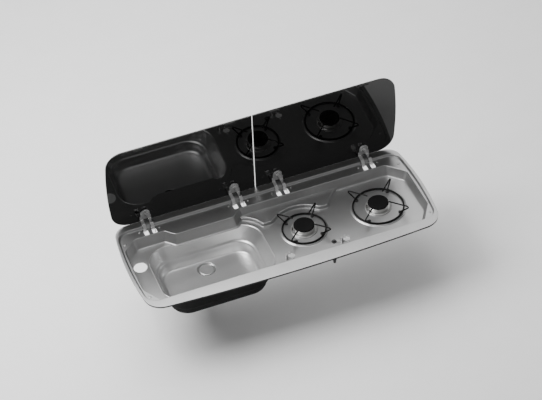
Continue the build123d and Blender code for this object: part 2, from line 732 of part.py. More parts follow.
def trivet_sector(side):
    """One prong on the X axis with its share of the ring."""
    share = 360 / PRONG_COUNT
    start = Plane(origin=(TRIVET_RADIUS[side], 0, 0), z_dir=(0, 1, 0))
    arc = revolve(start * Circle(TRIVET_WIRE / 2), Axis.Z, share)
    return Rot(0, 0, -share / 2) * arc + prong(side)


def around_burner(side, shape):
    """Copies of a shape drawn on the X axis, one at each prong of a trivet."""
    place = Pos(BURNER_X[side], BURNER_Y, TRIVET_Z)
    turns = [PRONG_START + i * 360 / PRONG_COUNT for i in range(PRONG_COUNT)]
    return [place * Rot(0, 0, turn) * shape for turn in turns]


def trivet(side):
    """The sectors fused with their seams kept, because a ring without seams doesn't cut well."""
    sectors = around_burner(side, trivet_sector(side))
    body = sectors[0]
    with SkipClean():
        for sector in sectors[1:]:
            body = body + sector
    return body


def trivet_feet(side):
    drop = TRIVET_Z - PAD_Z
    foot = disc(prong_foot_reach(side), 0, -drop, FOOT_RADIUS, drop + FOOT_WRAP)
    return around_burner(side, foot - trivet_sector(side))


def burner_cup(side):
    x, low = BURNER_X[side], UNDER_PAD - CUP_HEIGHT
    body = disc(x, BURNER_Y, low, CUP_RADIUS, PAD_Z - low)
    body += disc(x, BURNER_Y, UNDER_PAD - CUP_FLANGE, CUP_FLANGE_RADIUS, CUP_FLANGE)
    port = Pos(x, BURNER_Y - CUP_RADIUS, RAIL_Z) * Rot(90, 0, 0)
    body += port * Cylinder(CUP_PORT_RADIUS, 2 * CUP_PORT_LENGTH)
    body -= disc(x, BURNER_Y, low + CUP_WALL, CUP_RADIUS - CUP_WALL, CUP_HEIGHT * 2)
    body -= port * Cylinder(JET_RADIUS, 4 * CUP_PORT_LENGTH)
    return body - through_holes(probe_places(PROBE_ANGLES), PROBE_RADIUS)


def jet_front():
    return BURNER_Y - CUP_RADIUS - CUP_PORT_LENGTH - JET_LENGTH / 2


def burner_jets():
    jets = []
    middle = jet_front() + JET_LENGTH / 2
    for x in BURNER_X:
        place = Pos(x, middle, RAIL_Z) * Rot(90, 0, 0)
        body = place * Cylinder(JET_RADIUS, JET_LENGTH)
        jets.append(body - place * Cylinder(JET_BORE_RADIUS, 2 * JET_LENGTH))
    return jets


def burner_base(side):
    x, bore = BURNER_X[side], CROWN_RADIUS - CROWN_WALL
    body = disc(x, BURNER_Y, PAD_Z, BASE_RADIUS, BASE_THICKNESS)
    body += ring(x, BURNER_Y, PAD_Z, BASE_RADIUS, BASE_RADIUS - BASE_LIP_WIDTH, BASE_THICKNESS + BASE_LIP)
    body += disc(x, BURNER_Y, PAD_Z, CROWN_RADIUS, BASE_THICKNESS + CROWN_HEIGHT)
    body -= disc(x, BURNER_Y, PAD_Z - OVERRUN, bore, CROWN_HEIGHT * 2)
    slot = Box(CROWN_RADIUS, FLAME_SLOT_WIDTH, FLAME_SLOT_HEIGHT * 2)
    slots = [
        Pos(x, BURNER_Y, CROWN_TOP) * Rot(0, 0, i * 360 / FLAME_SLOT_COUNT) * Pos(CROWN_RADIUS, 0, 0) * slot
        for i in range(FLAME_SLOT_COUNT)
    ]
    body -= slots
    return body - through_holes(probe_places(PROBE_ANGLES), PROBE_RADIUS + PROBE_HOLE_GAP)


def burner_cap(side):
    x = BURNER_X[side]
    body = disc(x, BURNER_Y, CROWN_TOP, CAP_RADIUS, CAP_THICKNESS)
    body = fillet(body.edges().sort_by(Axis.Z)[-1], CAP_EDGE_RADIUS)
    outer = CROWN_RADIUS - CROWN_WALL - CAP_SPIGOT_GAP
    low = CROWN_TOP - CAP_SPIGOT
    spigot = disc(x, BURNER_Y, low, outer, CAP_SPIGOT)
    return body + spigot - disc(x, BURNER_Y, low - OVERRUN, outer - CUP_WALL, CAP_SPIGOT + OVERRUN)


def probes(angle):
    low = PAD_Z - PROBE_TAIL
    return [disc(x, y, low, PROBE_RADIUS, PROBE_TAIL + PROBE_RISE) for x, y in probe_places([angle])]


# Gas side


def valve_body(side):
    x, top = SPINDLE_X[side], UNDER_DECK
    half, low = VALVE_WIDTH / 2, UNDER_DECK - VALVE_PLATE - VALVE_HEIGHT
    body = block(x - half, x + half, SPINDLE_Y - VALVE_DEPTH / 2, SPINDLE_Y + VALVE_DEPTH / 2, low, top)
    body = fillet(body.edges().filter_by(Axis.Z), VALVE_PLATE / 2)
    reach = VALVE_SCREW_SPACING / 2 + VALVE_PLATE_MARGIN
    right = PEEP_X[side] + PEEP_RADIUS + VALVE_PLATE_MARGIN
    plate = block(x - half, right, PEEP_Y - reach, PEEP_Y + reach, top - VALVE_PLATE, top)
    body += fillet(plate.edges().filter_by(Axis.Z), VALVE_PLATE)
    inlet = Pos(x, SPINDLE_Y - VALVE_DEPTH / 2, RAIL_Z) * Rot(90, 0, 0)
    reach = SPINDLE_Y - VALVE_DEPTH / 2 - RAIL_Y
    body += inlet * Cylinder(RAIL_BORE_RADIUS, reach, align=(Align.CENTER, Align.CENTER, Align.MIN))
    body -= Pos(0, RAIL_Y, RAIL_Z) * Rot(0, 90, 0) * Cylinder(RAIL_RADIUS, TRAY_LENGTH)
    body -= through_holes([(PEEP_X[side], PEEP_Y)], PEEP_RADIUS)
    body -= through_holes(valve_screw_places(), HINGE_SCREW_RADIUS)
    body -= disc(x, SPINDLE_Y, low - OVERRUN, SPINDLE_RADIUS + RUNNING_FIT, VALVE_HEIGHT * 2)
    cavity = CONE_HEIGHT + 2 * SLIP_FIT
    return body - disc(x, SPINDLE_Y, cone_foot() - SLIP_FIT, CONE_RADIUS + RUNNING_FIT, cavity)


def cone_foot():
    return UNDER_DECK - VALVE_NECK - CONE_HEIGHT


def valve_cone(side):
    x, low = SPINDLE_X[side], cone_foot()
    body = disc(x, SPINDLE_Y, low, CONE_RADIUS, CONE_HEIGHT)
    socket_low = low + CONE_HEIGHT - CONE_SOCKET
    return body - disc(x, SPINDLE_Y, socket_low, SPINDLE_RADIUS + RUNNING_FIT, CONE_SOCKET + OVERRUN)


def valve_spindle(side):
    x, top = SPINDLE_X[side], SPINDLE_RISE - DECK_DROP
    low = cone_foot() + CONE_HEIGHT - CONE_SOCKET + SPINDLE_TRAVEL + SLIP_FIT
    body = disc(x, SPINDLE_Y, low, SPINDLE_RADIUS, top - low)
    flat_x = x + SPINDLE_RADIUS - SPINDLE_FLAT
    y0, y1 = SPINDLE_Y - SPINDLE_RADIUS, SPINDLE_Y + SPINDLE_RADIUS
    return body - block(flat_x, x + 2 * SPINDLE_RADIUS, y0, y1, top - SPINDLE_FLAT_LENGTH, top + OVERRUN)


def gas_rail():
    left, right = SPINDLE_X[0] - RAIL_OVERHANG, SPINDLE_X[1] + RAIL_OVERHANG
    place = Pos((left + right) / 2, RAIL_Y, RAIL_Z) * Rot(0, 90, 0)
    body = place * Cylinder(RAIL_RADIUS, right - left)
    body -= place * Cylinder(RAIL_BORE_RADIUS, right - left - 2 * RAIL_RADIUS)
    return body - disc(INLET_X, RAIL_Y, RAIL_Z - 2 * RAIL_RADIUS, INLET_TAIL_RADIUS, 2 * RAIL_RADIUS)


def gas_inlet():
    """A pipe end with an olive inside the nut and a thinner tail inside the rail."""
    rail_low = RAIL_Z - RAIL_RADIUS
    low, nut_low = rail_low - INLET_LENGTH, rail_low - SLIP_FIT - INLET_NUT_LENGTH
    body = disc(INLET_X, RAIL_Y, low, INLET_RADIUS, nut_low - low)
    body += disc(INLET_X, RAIL_Y, nut_low, INLET_RADIUS + INLET_OLIVE, rail_low - nut_low)
    body += disc(INLET_X, RAIL_Y, rail_low, INLET_TAIL_RADIUS, RAIL_RADIUS)
    bore = INLET_RADIUS - INLET_WALL
    return body - disc(INLET_X, RAIL_Y, low - OVERRUN, bore, RAIL_Z - low + 2 * OVERRUN)


def inlet_nut():
    top = RAIL_Z - RAIL_RADIUS - SLIP_FIT
    body = hexagon(INLET_X, RAIL_Y, top - INLET_NUT_LENGTH, INLET_NUT_RADIUS, INLET_NUT_LENGTH)
    bore = INLET_RADIUS + INLET_OLIVE
    return body - disc(INLET_X, RAIL_Y, top - 2 * INLET_NUT_LENGTH, bore, 3 * INLET_NUT_LENGTH)


def burner_pipe(side):
    start = SPINDLE_Y + VALVE_DEPTH / 2
    x, end = BURNER_X[side], jet_front()
    corners = [(SPINDLE_X[side], start), (SPINDLE_X[side], PIPE_TURN_Y), (x, PIPE_TURN_Y), (x, end)]
    places = [(px, py, RAIL_Z) for px, py in corners]
    body = bent_rod(places, PIPE_RADIUS, PIPE_BEND_RADIUS)
    return body - bent_rod(places, PIPE_RADIUS - PIPE_WALL, PIPE_BEND_RADIUS)


def igniter_body():
    low = -DECK_DROP - IGNITER_LENGTH
    body = disc(IGNITER_X, IGNITER_Y, low, IGNITER_RADIUS, IGNITER_LENGTH)
    body += disc(IGNITER_X, IGNITER_Y, -DECK_DROP, IGNITER_COLLAR_RADIUS, IGNITER_COLLAR)
    bore_low = IGNITER_COLLAR - DECK_DROP - BUTTON_LENGTH - SLIP_FIT
    return body - disc(IGNITER_X, IGNITER_Y, bore_low, BUTTON_RADIUS + RUNNING_FIT, BUTTON_LENGTH * 2)


def igniter_button():
    top = IGNITER_COLLAR - DECK_DROP + BUTTON_RISE
    body = disc(IGNITER_X, IGNITER_Y, top - BUTTON_LENGTH, BUTTON_RADIUS, BUTTON_LENGTH)
    return fillet(body.edges().sort_by(Axis.Z)[-1], IGNITER_COLLAR)


# Lid leaves and hinges, drawn closed and then swung open about the hinge axis


def hinge_axis():
    """The point about which the closed rear edge swings to the open one."""
    turn = math.radians(LID_OPEN_ANGLE)
    cos, sin = math.cos(turn), -math.sin(turn)
    y, z = LID_CLOSED_EDGE_Y, LID_CLOSED_Z
    my, mz = LID_OPEN_EDGE_Y - (cos * y - sin * z), LID_OPEN_EDGE_Z - (sin * y + cos * z)
    scale = (1 - cos) ** 2 + sin**2
    return ((1 - cos) * my - sin * mz) / scale, (sin * my + (1 - cos) * mz) / scale


PIVOT_Y, PIVOT_Z = hinge_axis()


def swung(shape, angle):
    return Pos(0, PIVOT_Y, PIVOT_Z) * Rot(angle, 0, 0) * Pos(0, -PIVOT_Y, -PIVOT_Z) * shape


def opened(shape):
    return swung(shape, -LID_OPEN_ANGLE)


def side_hinges(side):
    half = len(HINGE_X) // len(SIDES)
    return HINGE_X[side * half : (side + 1) * half]


def plate_face(x, z):
    """A clamp plate's outline on the closed lid, round at its far end."""
    half, start = TAB_WIDTH / 2, LID_CLOSED_EDGE_Y - TAB_START
    round_y = LID_CLOSED_EDGE_Y - TAB_HOLE
    face = Pos(x, (start + round_y) / 2, z) * Rectangle(TAB_WIDTH, start - round_y)
    return face + Pos(x, round_y, z) * Circle(half)


def clamp_disc(x, z, radius, height):
    return disc(x, LID_CLOSED_EDGE_Y - TAB_HOLE, z, radius, height)


def lid_glass(side):
    half, rear = LID_WIDTH / 2, LID_CLOSED_EDGE_Y
    radii = (LID_RADIUS, LID_RADIUS)
    face = bowed_face(half, rear - LID_HEIGHT, rear, (LID_BOW, 0, 0), radii, LID_CLOSED_Z)
    sign = 2 * side - 1
    inner, outer = sorted((sign * LID_GAP / 2, sign * LID_WIDTH))
    face &= Pos((inner + outer) / 2, 0, LID_CLOSED_Z) * Rectangle(outer - inner, TRAY_DEPTH * 2)
    corners = [v for v in face.vertices() if abs(v.X) < LID_GAP]
    body = extrude(fillet(corners, LID_INNER_RADIUS), LID_GLASS)
    for x in side_hinges(side):
        body -= clamp_disc(x, LID_CLOSED_Z - OVERRUN, GLASS_HOLE_RADIUS, LID_GLASS + 2 * OVERRUN)
    return opened(body)


def glass_pads(side):
    pads = []
    for x in side_hinges(side):
        for low in (LID_CLOSED_Z - GLASS_PAD, LID_CLOSED_Z + LID_GLASS):
            hole = clamp_disc(x, low - OVERRUN, CLAMP_SCREW_RADIUS + RUNNING_FIT, GLASS_PAD + 2 * OVERRUN)
            pads.append(opened(clamp_disc(x, low, GLASS_PAD_RADIUS, GLASS_PAD) - hole))
    return pads


def backplate(x):
    low = LID_CLOSED_Z + LID_GLASS + GLASS_PAD
    body = extrude(plate_face(x, low), BACKPLATE_THICKNESS)
    hole = clamp_disc(x, low - OVERRUN, CLAMP_SCREW_RADIUS, BACKPLATE_THICKNESS + 2 * OVERRUN)
    return opened(body - hole)


def clamp_screws(side):
    low = LID_CLOSED_Z - GLASS_PAD - ARM_THICKNESS
    top = LID_CLOSED_Z + LID_GLASS + GLASS_PAD + BACKPLATE_THICKNESS
    screws = []
    for x in side_hinges(side):
        head = clamp_disc(x, low - CLAMP_HEAD_HEIGHT, CLAMP_HEAD_RADIUS, CLAMP_HEAD_HEIGHT)
        y, foot = LID_CLOSED_EDGE_Y - TAB_HOLE, low - CLAMP_HEAD_HEIGHT - OVERRUN
        head -= hexagon(x, y, foot, CLAMP_SCREW_RADIUS, OVERRUN + CLAMP_HEAD_HEIGHT / 2)
        screws.append(opened(head + clamp_disc(x, low, CLAMP_SCREW_RADIUS, top - low)))
    return screws


def lid_buffers(side):
    """Soft strips near the front corners of a leaf, which hold the closed glass off the rim."""
    front = LID_CLOSED_EDGE_Y - LID_HEIGHT + BUFFER_INSET
    strips = []
    for x in side_hinges(side):
        low, high = x - BUFFER_LENGTH / 2, x + BUFFER_LENGTH / 2
        y0, y1 = front - BUFFER_WIDTH / 2, front + BUFFER_WIDTH / 2
        strips.append(opened(block(low, high, y0, y1, BUFFER_GAP, LID_CLOSED_Z)))
    return strips


def strip_face(points, thickness, bend):
    """A bent strip's side view in the Y-Z plane, from its centre line."""
    left, right, turns = [], [], []
    for i, (y, z) in enumerate(points):
        ay, az = points[max(i - 1, 0)]
        by, bz = points[min(i + 1, len(points) - 1)]
        d1 = Vector(y - ay, z - az) if i else Vector(by - y, bz - z)
        d2 = Vector(by - y, bz - z) if i < len(points) - 1 else d1
        d1, d2 = d1.normalized(), d2.normalized()
        middle = (d1 + d2).normalized()
        reach = thickness / 2 / middle.dot(d1)
        left.append((0, y - middle.Y * reach, z + middle.X * reach))
        right.append((0, y + middle.Y * reach, z - middle.X * reach))
        turns.append(d1.X * d2.Y - d1.Y * d2.X)
    inner, outer = bend - thickness / 2, bend + thickness / 2
    left_radii = [inner if t > 0 else outer for t in turns[1:-1]]
    right_radii = [outer if t > 0 else inner for t in turns[1:-1]]
    radii = [0] + left_radii + [0, 0] + right_radii[::-1] + [0]
    return make_face(FilletPolyline(*left, *right[::-1], radius=radii, close=True).edges())


def hinge_arm(x):
    depth = LID_CLOSED_Z - GLASS_PAD - ARM_THICKNESS / 2
    turn = math.radians(LID_OPEN_ANGLE)

    def open_place(reach):
        y, z = LID_CLOSED_EDGE_Y - reach - PIVOT_Y, depth - PIVOT_Z
        cos, sin = math.cos(turn), -math.sin(turn)
        return PIVOT_Y + cos * y - sin * z, PIVOT_Z + sin * y + cos * z

    line = [
        (PIVOT_Y, PIVOT_Z),
        (PIVOT_Y - ARM_DIP_Y, PIVOT_Z + ARM_DIP_Z),
        (PIVOT_Y - ARM_NECK_Y, PIVOT_Z + ARM_NECK_Z),
        (PIVOT_Y - ARM_CREST_Y, PIVOT_Z + ARM_CREST_Z),
        open_place(TAB_START - ARM_THICKNESS),
        open_place(TAB_START + TAB_WIDTH / 2),
    ]
    side_view = strip_face(line, ARM_THICKNESS, ARM_BEND_RADIUS)
    tab = extrude(plate_face(x, LID_CLOSED_Z - GLASS_PAD), -ARM_THICKNESS)
    low = LID_CLOSED_Z - GLASS_PAD - ARM_THICKNESS - OVERRUN
    tab -= clamp_disc(x, low, CLAMP_SCREW_RADIUS + RUNNING_FIT, ARM_THICKNESS + 2 * OVERRUN)
    body = opened(tab)
    across = Pos(0, PIVOT_Y, PIVOT_Z) * Rot(0, 90, 0)
    for arm in (x - ARM_SPACING / 2, x + ARM_SPACING / 2):
        body += Pos(arm - ARM_WIDTH / 2, 0, 0) * extrude(side_view, ARM_WIDTH, dir=(1, 0, 0))
        body += Pos(arm, 0, 0) * across * Cylinder(ARM_EYE_RADIUS, ARM_WIDTH)
    return body - Pos(x, 0, 0) * across * Cylinder(PIN_RADIUS + RUNNING_FIT, BRACKET_LENGTH)


def cheek_reach():
    """From a hinge's middle to the outside of its cheeks."""
    return ARM_SPACING / 2 + ARM_WIDTH / 2 + CHEEK_CLEARANCE + BRACKET_SHEET


def hinge_bracket(x):
    half, low = BRACKET_LENGTH / 2, UNDER_SHELF - BRACKET_SHEET
    body = block(x - half, x + half, BRACKET_FRONT, BRACKET_REAR, low, UNDER_SHELF)
    body -= hinge_slots(low - OVERRUN, UNDER_SHELF + OVERRUN)
    body -= through_holes(hinge_screw_places(), HINGE_SCREW_RADIUS)
    across = Pos(x, PIVOT_Y, PIVOT_Z) * Rot(0, 90, 0)
    outer = cheek_reach()
    cheeks = block(x - outer, x + outer, CHEEK_FRONT, PIVOT_Y, PIVOT_Z - CHEEK_REACH, UNDER_SHELF)
    cheeks += across * Cylinder(CHEEK_REACH, 2 * outer)
    inner = outer - BRACKET_SHEET
    cheeks -= block(x - inner, x + inner, FRONT_Y, REAR_Y, -TRAY_DEPTH, TRAY_DEPTH)
    cheeks -= block(x - half, x + half, RECESS_REAR_Y - RECESS_SLOPE, REAR_Y, low, TRAY_DEPTH)
    return body + cheeks - across * Cylinder(PIN_RADIUS, BRACKET_LENGTH)


def hinge_pins():
    pins = []
    for x in HINGE_X:
        outer = cheek_reach()
        across = Pos(x, PIVOT_Y, PIVOT_Z) * Rot(0, 90, 0)
        body = across * Cylinder(PIN_RADIUS, 2 * outer)
        for sign in (-1, 1):
            head = Pos(sign * (outer + PIN_HEAD_THICKNESS / 2), 0, 0) * across
            body += head * Cylinder(PIN_HEAD_RADIUS, PIN_HEAD_THICKNESS)
        pins.append(body)
    return pins


def all_nodes():
    nodes = {
        "deck": deck(),
        "sink_bowl": sink_bowl(),
        "bowl_coat": bowl_coat(),
        "rim_seal": rim_seal(),
        "fixing_screws": fixing_screws(),
        "waste_flange": waste_flange(),
        "waste_gasket": waste_gasket(),
        "waste_body": waste_body(),
        "waste_plug": waste_plug(),
        "plug_seal": plug_seal(),
        "burner_jets": burner_jets(),
        "spark_electrodes": probes(ELECTRODE_ANGLE),
        "thermocouples": probes(THERMOCOUPLE_ANGLE),
        "valve_screws": valve_screws(),
        "gas_rail": gas_rail(),
        "gas_inlet": gas_inlet(),
        "inlet_nut": inlet_nut(),
        "igniter_body": igniter_body(),
        "igniter_button": igniter_button(),
        "hinge_screws": hinge_screws(),
        "hinge_pins": hinge_pins(),
    }
    for side, word in enumerate(SIDES):
        nodes[f"trivet_{word}"] = trivet(side)
        nodes[f"trivet_feet_{word}"] = trivet_feet(side)
        nodes[f"burner_cup_{word}"] = burner_cup(side)
        nodes[f"burner_base_{word}"] = burner_base(side)
        nodes[f"burner_cap_{word}"] = burner_cap(side)
        nodes[f"burner_pipe_{word}"] = burner_pipe(side)
        nodes[f"valve_body_{word}"] = valve_body(side)
        nodes[f"valve_cone_{word}"] = valve_cone(side)
        nodes[f"valve_spindle_{word}"] = valve_spindle(side)
        nodes[f"lid_glass_{word}"] = lid_glass(side)
        nodes[f"lid_buffers_{word}"] = lid_buffers(side)
        nodes[f"glass_pads_{word}"] = glass_pads(side)
        nodes[f"clamp_screws_{word}"] = clamp_screws(side)
    for x, word in zip(HINGE_X, HINGE_NAMES):
        nodes[f"hinge_arm_{word}"] = hinge_arm(x)
        nodes[f"hinge_bracket_{word}"] = hinge_bracket(x)
        nodes[f"backplate_{word}"] = backplate(x)
    return nodes


def main():
    os.makedirs("parts", exist_ok=True)
    for name, shape in all_nodes().items():
        if isinstance(shape, list):
            shape = Compound(shape)
        export_step(shape, f"parts/{name}.step")


if __name__ == "__main__":
    main()
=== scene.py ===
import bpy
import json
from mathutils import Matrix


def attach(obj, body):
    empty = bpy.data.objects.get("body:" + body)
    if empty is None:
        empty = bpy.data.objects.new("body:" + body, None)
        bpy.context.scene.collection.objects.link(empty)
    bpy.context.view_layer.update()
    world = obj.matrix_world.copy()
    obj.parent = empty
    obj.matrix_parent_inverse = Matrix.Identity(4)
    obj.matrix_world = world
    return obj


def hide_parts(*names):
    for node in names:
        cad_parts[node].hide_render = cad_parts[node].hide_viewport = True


bl_info = {
    "name": "Hob and Sink Combination",
    "version": (1, 0, 0),
    "blender": (4, 5, 0),
    "location": "View3D > Sidebar > Hob and Sink",
    "description": "Builds a pressed steel hob and sink unit with a two-leaf glass lid",
    "category": "Object",
}

import json
import math
from collections import namedtuple

import bmesh
import bpy
from bpy.props import FloatProperty, FloatVectorProperty, IntProperty, PointerProperty
from mathutils import Matrix, Vector
from mathutils.geometry import delaunay_2d_cdt

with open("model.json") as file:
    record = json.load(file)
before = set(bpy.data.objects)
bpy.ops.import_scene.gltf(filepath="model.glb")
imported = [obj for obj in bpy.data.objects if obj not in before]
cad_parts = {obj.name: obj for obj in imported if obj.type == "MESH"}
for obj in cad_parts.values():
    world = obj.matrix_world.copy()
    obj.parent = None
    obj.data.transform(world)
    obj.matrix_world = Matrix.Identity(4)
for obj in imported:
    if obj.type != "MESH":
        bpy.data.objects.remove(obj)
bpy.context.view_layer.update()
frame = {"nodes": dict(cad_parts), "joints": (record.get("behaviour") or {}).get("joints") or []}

# The frame, the settings, the lights and the camera are in metres. All other sizes and the shape tables are in
# millimetres, and MM turns them into metres.
MM = 0.001

# Heights of the pressing, from the rim's top at zero down
SHELF_Z = -7.0
LEDGE_Z = -27.5
PAD_Z = -34.0
FLOOR_Z = -37.0
FOLD_Z = -80.0
BASIN_Z = -115.0
DISH_Z = -121.0

# Thickness of the sheets and of the bowl's coat, and how far outside the steel the coat starts
SHEET = 0.8
LEDGE_SHEET = 0.5
COAT = 0.9
COAT_GAP = 1.0

# Places on the tray
BURNERS = ((77.0, -5.7), (307.0, -5.7))
DRAIN = (-212.5, 35.0)
HINGES = (-338.0, -67.0, 67.0, 338.0)
PEEPS = ((6.7, -87.0), (175.0, -87.0))
SIDES = ("left", "right")

# Pieces that rest on each other are this far apart or sunk in, so that no two faces lie in one plane.
REST_GAP = 0.02


def alike(value):
    """One value for all three axes or colours."""
    return (value, value, value)


# Outlines


def rectangle(x0, x1, y0, y1):
    return [(x0, y0), (x1, y0), (x1, y1), (x0, y1)]


def arc(centre, radius, start, end, steps):
    """Points of an arc, with both ends."""
    x, y = centre
    turns = [start + (end - start) * k / steps for k in range(steps + 1)]
    return [(x + radius * math.cos(t), y + radius * math.sin(t)) for t in turns]


def circle_loop(x, y, radius, count):
    return arc((x, y), radius, 0.0, 2 * math.pi, count)[:-1]


def moved_outline(points, shifts):
    """A closed anticlockwise outline with each side moved outwards by its own shift."""
    lines = []
    for i, (ax, ay) in enumerate(points):
        bx, by = points[(i + 1) % len(points)]
        length = math.hypot(bx - ax, by - ay)
        nx, ny = (by - ay) / length, (ax - bx) / length
        lines.append((nx, ny, nx * ax + ny * ay + shifts[i]))
    corners = []
    for i in range(len(points)):
        (n1x, n1y, c1), (n2x, n2y, c2) = lines[i - 1], lines[i]
        det = n1x * n2y - n1y * n2x
        corners.append(((c1 * n2y - c2 * n1y) / det, (n1x * c2 - n2x * c1) / det))
    return corners


def rounded_loop(points, radii, steps=10):
    """A closed outline with its corners rounded, as a list of points."""
    loop = []
    for i, (bx, by) in enumerate(points):
        a, c = Vector(points[i - 1]), Vector(points[(i + 1) % len(points)])
        b = Vector((bx, by))
        back, on = (a - b).normalized(), (c - b).normalized()
        half = back.angle(on) / 2
        reach = radii[i] / math.tan(half)
        centre = b + (back + on).normalized() * (radii[i] / math.sin(half))
        start, end = b + back * reach - centre, b + on * reach - centre
        turn = math.atan2(start.x * end.y - start.y * end.x, start.dot(end))
        for k in range(steps + 1):
            cos, sin = math.cos(turn * k / steps), math.sin(turn * k / steps)
            loop.append((centre.x + start.x * cos - start.y * sin, centre.y + start.x * sin + start.y * cos))
    return loop


# A straight side is drawn as a very flat arc with this bow.
LEAST_BOW = 0.02


def arc_side(x0, y0, x1, y1, bow):
    """The circle of a bowed side that runs from one corner to the next."""
    chord = math.hypot(x1 - x0, y1 - y0)
    bow = max(bow, LEAST_BOW)
    radius = (chord**2 / 4 + bow**2) / (2 * bow)
    nx, ny = (y1 - y0) / chord, (x0 - x1) / chord
    return (x0 + x1) / 2 + nx * (bow - radius), (y0 + y1) / 2 + ny * (bow - radius), radius


def circles_meet(ax, ay, ar, bx, by, br, near):
    """The meeting point of two circles that is nearest to a given point."""
    dx, dy = bx - ax, by - ay
    d = math.hypot(dx, dy)
    along = (ar**2 - br**2 + d**2) / (2 * d)
    across = math.sqrt(max(ar**2 - along**2, 0))
    px, py = ax + dx * along / d, ay + dy * along / d
    found = [(px - dy * across / d * s, py + dx * across / d * s) for s in (-1, 1)]
    return min(found, key=lambda p: math.hypot(p[0] - near[0], p[1] - near[1]))


def bowed_loop(half, front, rear, bows, radii, grows, steps=14, side_steps=24):
    """An outline with four bowed sides. half, front and rear are its reaches. bows and grows are for the left
    and right side, the front and the rear, and radii for the front and the rear corners."""
    side_bow, front_bow, rear_bow = bows
    side_grow, front_grow, rear_grow = grows
    x = half - side_bow
    corners = rectangle(-x, x, front + front_bow, rear - rear_bow)
    side_bows = (front_bow, side_bow, rear_bow, side_bow)
    side_grows = (front_grow, side_grow, rear_grow, side_grow)
    circles = []
    for i in range(4):
        cx, cy, radius = arc_side(*corners[i], *corners[(i + 1) % 4], side_bows[i])
        circles.append((cx, cy, radius + side_grows[i]))
    corner_radii = (radii[0], radii[0], radii[1], radii[1])
    arcs = []
    for i in range(4):
        r = corner_radii[i] + side_grow
        (ax, ay, ar), (bx, by, br) = circles[i - 1], circles[i]
        centre = circles_meet(ax, ay, ar - r, bx, by, br - r, corners[i])
        start = math.atan2(centre[1] - ay, centre[0] - ax)
        end = math.atan2(centre[1] - by, centre[0] - bx)
        while end < start:
            end += 2 * math.pi
        arcs.append((centre, r, start, end))
    loop = []
    for i in range(4):
        centre, r, start, end = arcs[i]
        loop += arc(centre, r, start, end, steps)
        cx, cy, radius = circles[i]
        stop = arcs[(i + 1) % 4][2]
        while stop < end:
            stop += 2 * math.pi
        loop += arc((cx, cy), radius, end, stop, side_steps)[1:-1]
    return loop


def softened(profile, cuts, steps=5, limit=0.49):
    """A profile whose inner corners are rounded, each by its own cut, which takes no more than the limit's
    share of a side. The last number of each point is its height."""
    points = [tuple(profile[0])]
    for i in range(1, len(profile) - 1):
        before, corner, after = (Vector(p) for p in profile[i - 1 : i + 2])
        start = corner + (before - corner) * min(limit, cuts[i - 1] / (before - corner).length)
        end = corner + (after - corner) * min(limit, cuts[i - 1] / (after - corner).length)
        for k in range(steps + 1):
            t = k / steps
            points.append(tuple(start * (1 - t) ** 2 + corner * 2 * t * (1 - t) + end * t**2))
    points.append(tuple(profile[-1]))
    return points


def inside(ring, x, y):
    hit = False
    for i, (ax, ay) in enumerate(ring):
        bx, by = ring[i - 1]
        if (ay > y) != (by > y) and x < (bx - ax) * (y - ay) / (by - ay) + ax:
            hit = not hit
    return hit


# Meshes

# Points nearer than this are one point, in millimetres in a flat region and in metres in a mesh.
FLAT_TOUCH = 1e-5
MESH_TOUCH = 1e-6
# An edge that turns by more than this stays sharp, and large flat faces count this much in the shading.
SHARP_ANGLE = math.radians(40.0)
FLAT_WEIGHT = 90


class Skin:
    """Points and faces of one piece while it is put together, in millimetres."""

    def __init__(self):
        self.points = []
        self.faces = []

    def loop(self, outline, z):
        first = len(self.points)
        self.points += [(x, y, z) for x, y in outline]
        return list(range(first, first + len(outline)))

    def strip(self, outer, inner):
        """Faces between two closed loops of equal count, seen from above with the outer one first."""
        self.ribbon(outer + outer[:1], inner + inner[:1])

    def ribbon(self, first, second):
        """Faces between two open rows of equal count."""
        for i in range(len(first) - 1):
            self.faces.append((first[i], first[i + 1], second[i + 1], second[i]))

    def stack(self, rows, outline):
        """Strips between the rows of a profile, where a row holds what its outline takes and its height.
        Returns the first and the last loop."""
        loops = [self.loop(outline(*row[:-1]), row[-1]) for row in rows]
        for outer, inner in zip(loops, loops[1:]):
            self.strip(outer, inner)
        return loops[0], loops[-1]

    def flat(self, outer, holes):
        """A flat region inside one loop and outside others. Each is a list of point numbers."""
        loops = [outer, *holes]
        numbers = [n for loop in loops for n in loop]
        spots = [Vector(self.points[n][:2]) for n in numbers]
        edges, first = [], 0
        for loop in loops:
            count = len(loop)
            edges += [(first + i, first + (i + 1) % count) for i in range(count)]
            first += count
        found, _, triangles, origins, _, _ = delaunay_2d_cdt(spots, edges, [], 0, FLAT_TOUCH)
        rings = [[self.points[n][:2] for n in loop] for loop in loops]
        z = self.points[outer[0]][2]
        corners = []
        for spot, origin in zip(found, origins):
            corners.append(numbers[origin[0]] if origin else self.loop([tuple(spot)], z)[0])
        for triangle in triangles:
            x = sum(found[k].x for k in triangle) / 3
            y = sum(found[k].y for k in triangle) / 3
            if inside(rings[0], x, y) and not any(inside(ring, x, y) for ring in rings[1:]):
                self.faces.append(tuple(corners[k] for k in triangle))

    def piece(self, name):
        mesh = bpy.data.meshes.new(name)
        mesh.from_pydata([(x * MM, y * MM, z * MM) for x, y, z in self.points], [], self.faces)
        mesh.polygons.foreach_set("use_smooth", [True] * len(mesh.polygons))
        return linked(name, mesh)


def linked(name, data):
    """A new object in the scene."""
    obj = bpy.data.objects.new(name, data)
    bpy.context.scene.collection.objects.link(obj)
    return obj


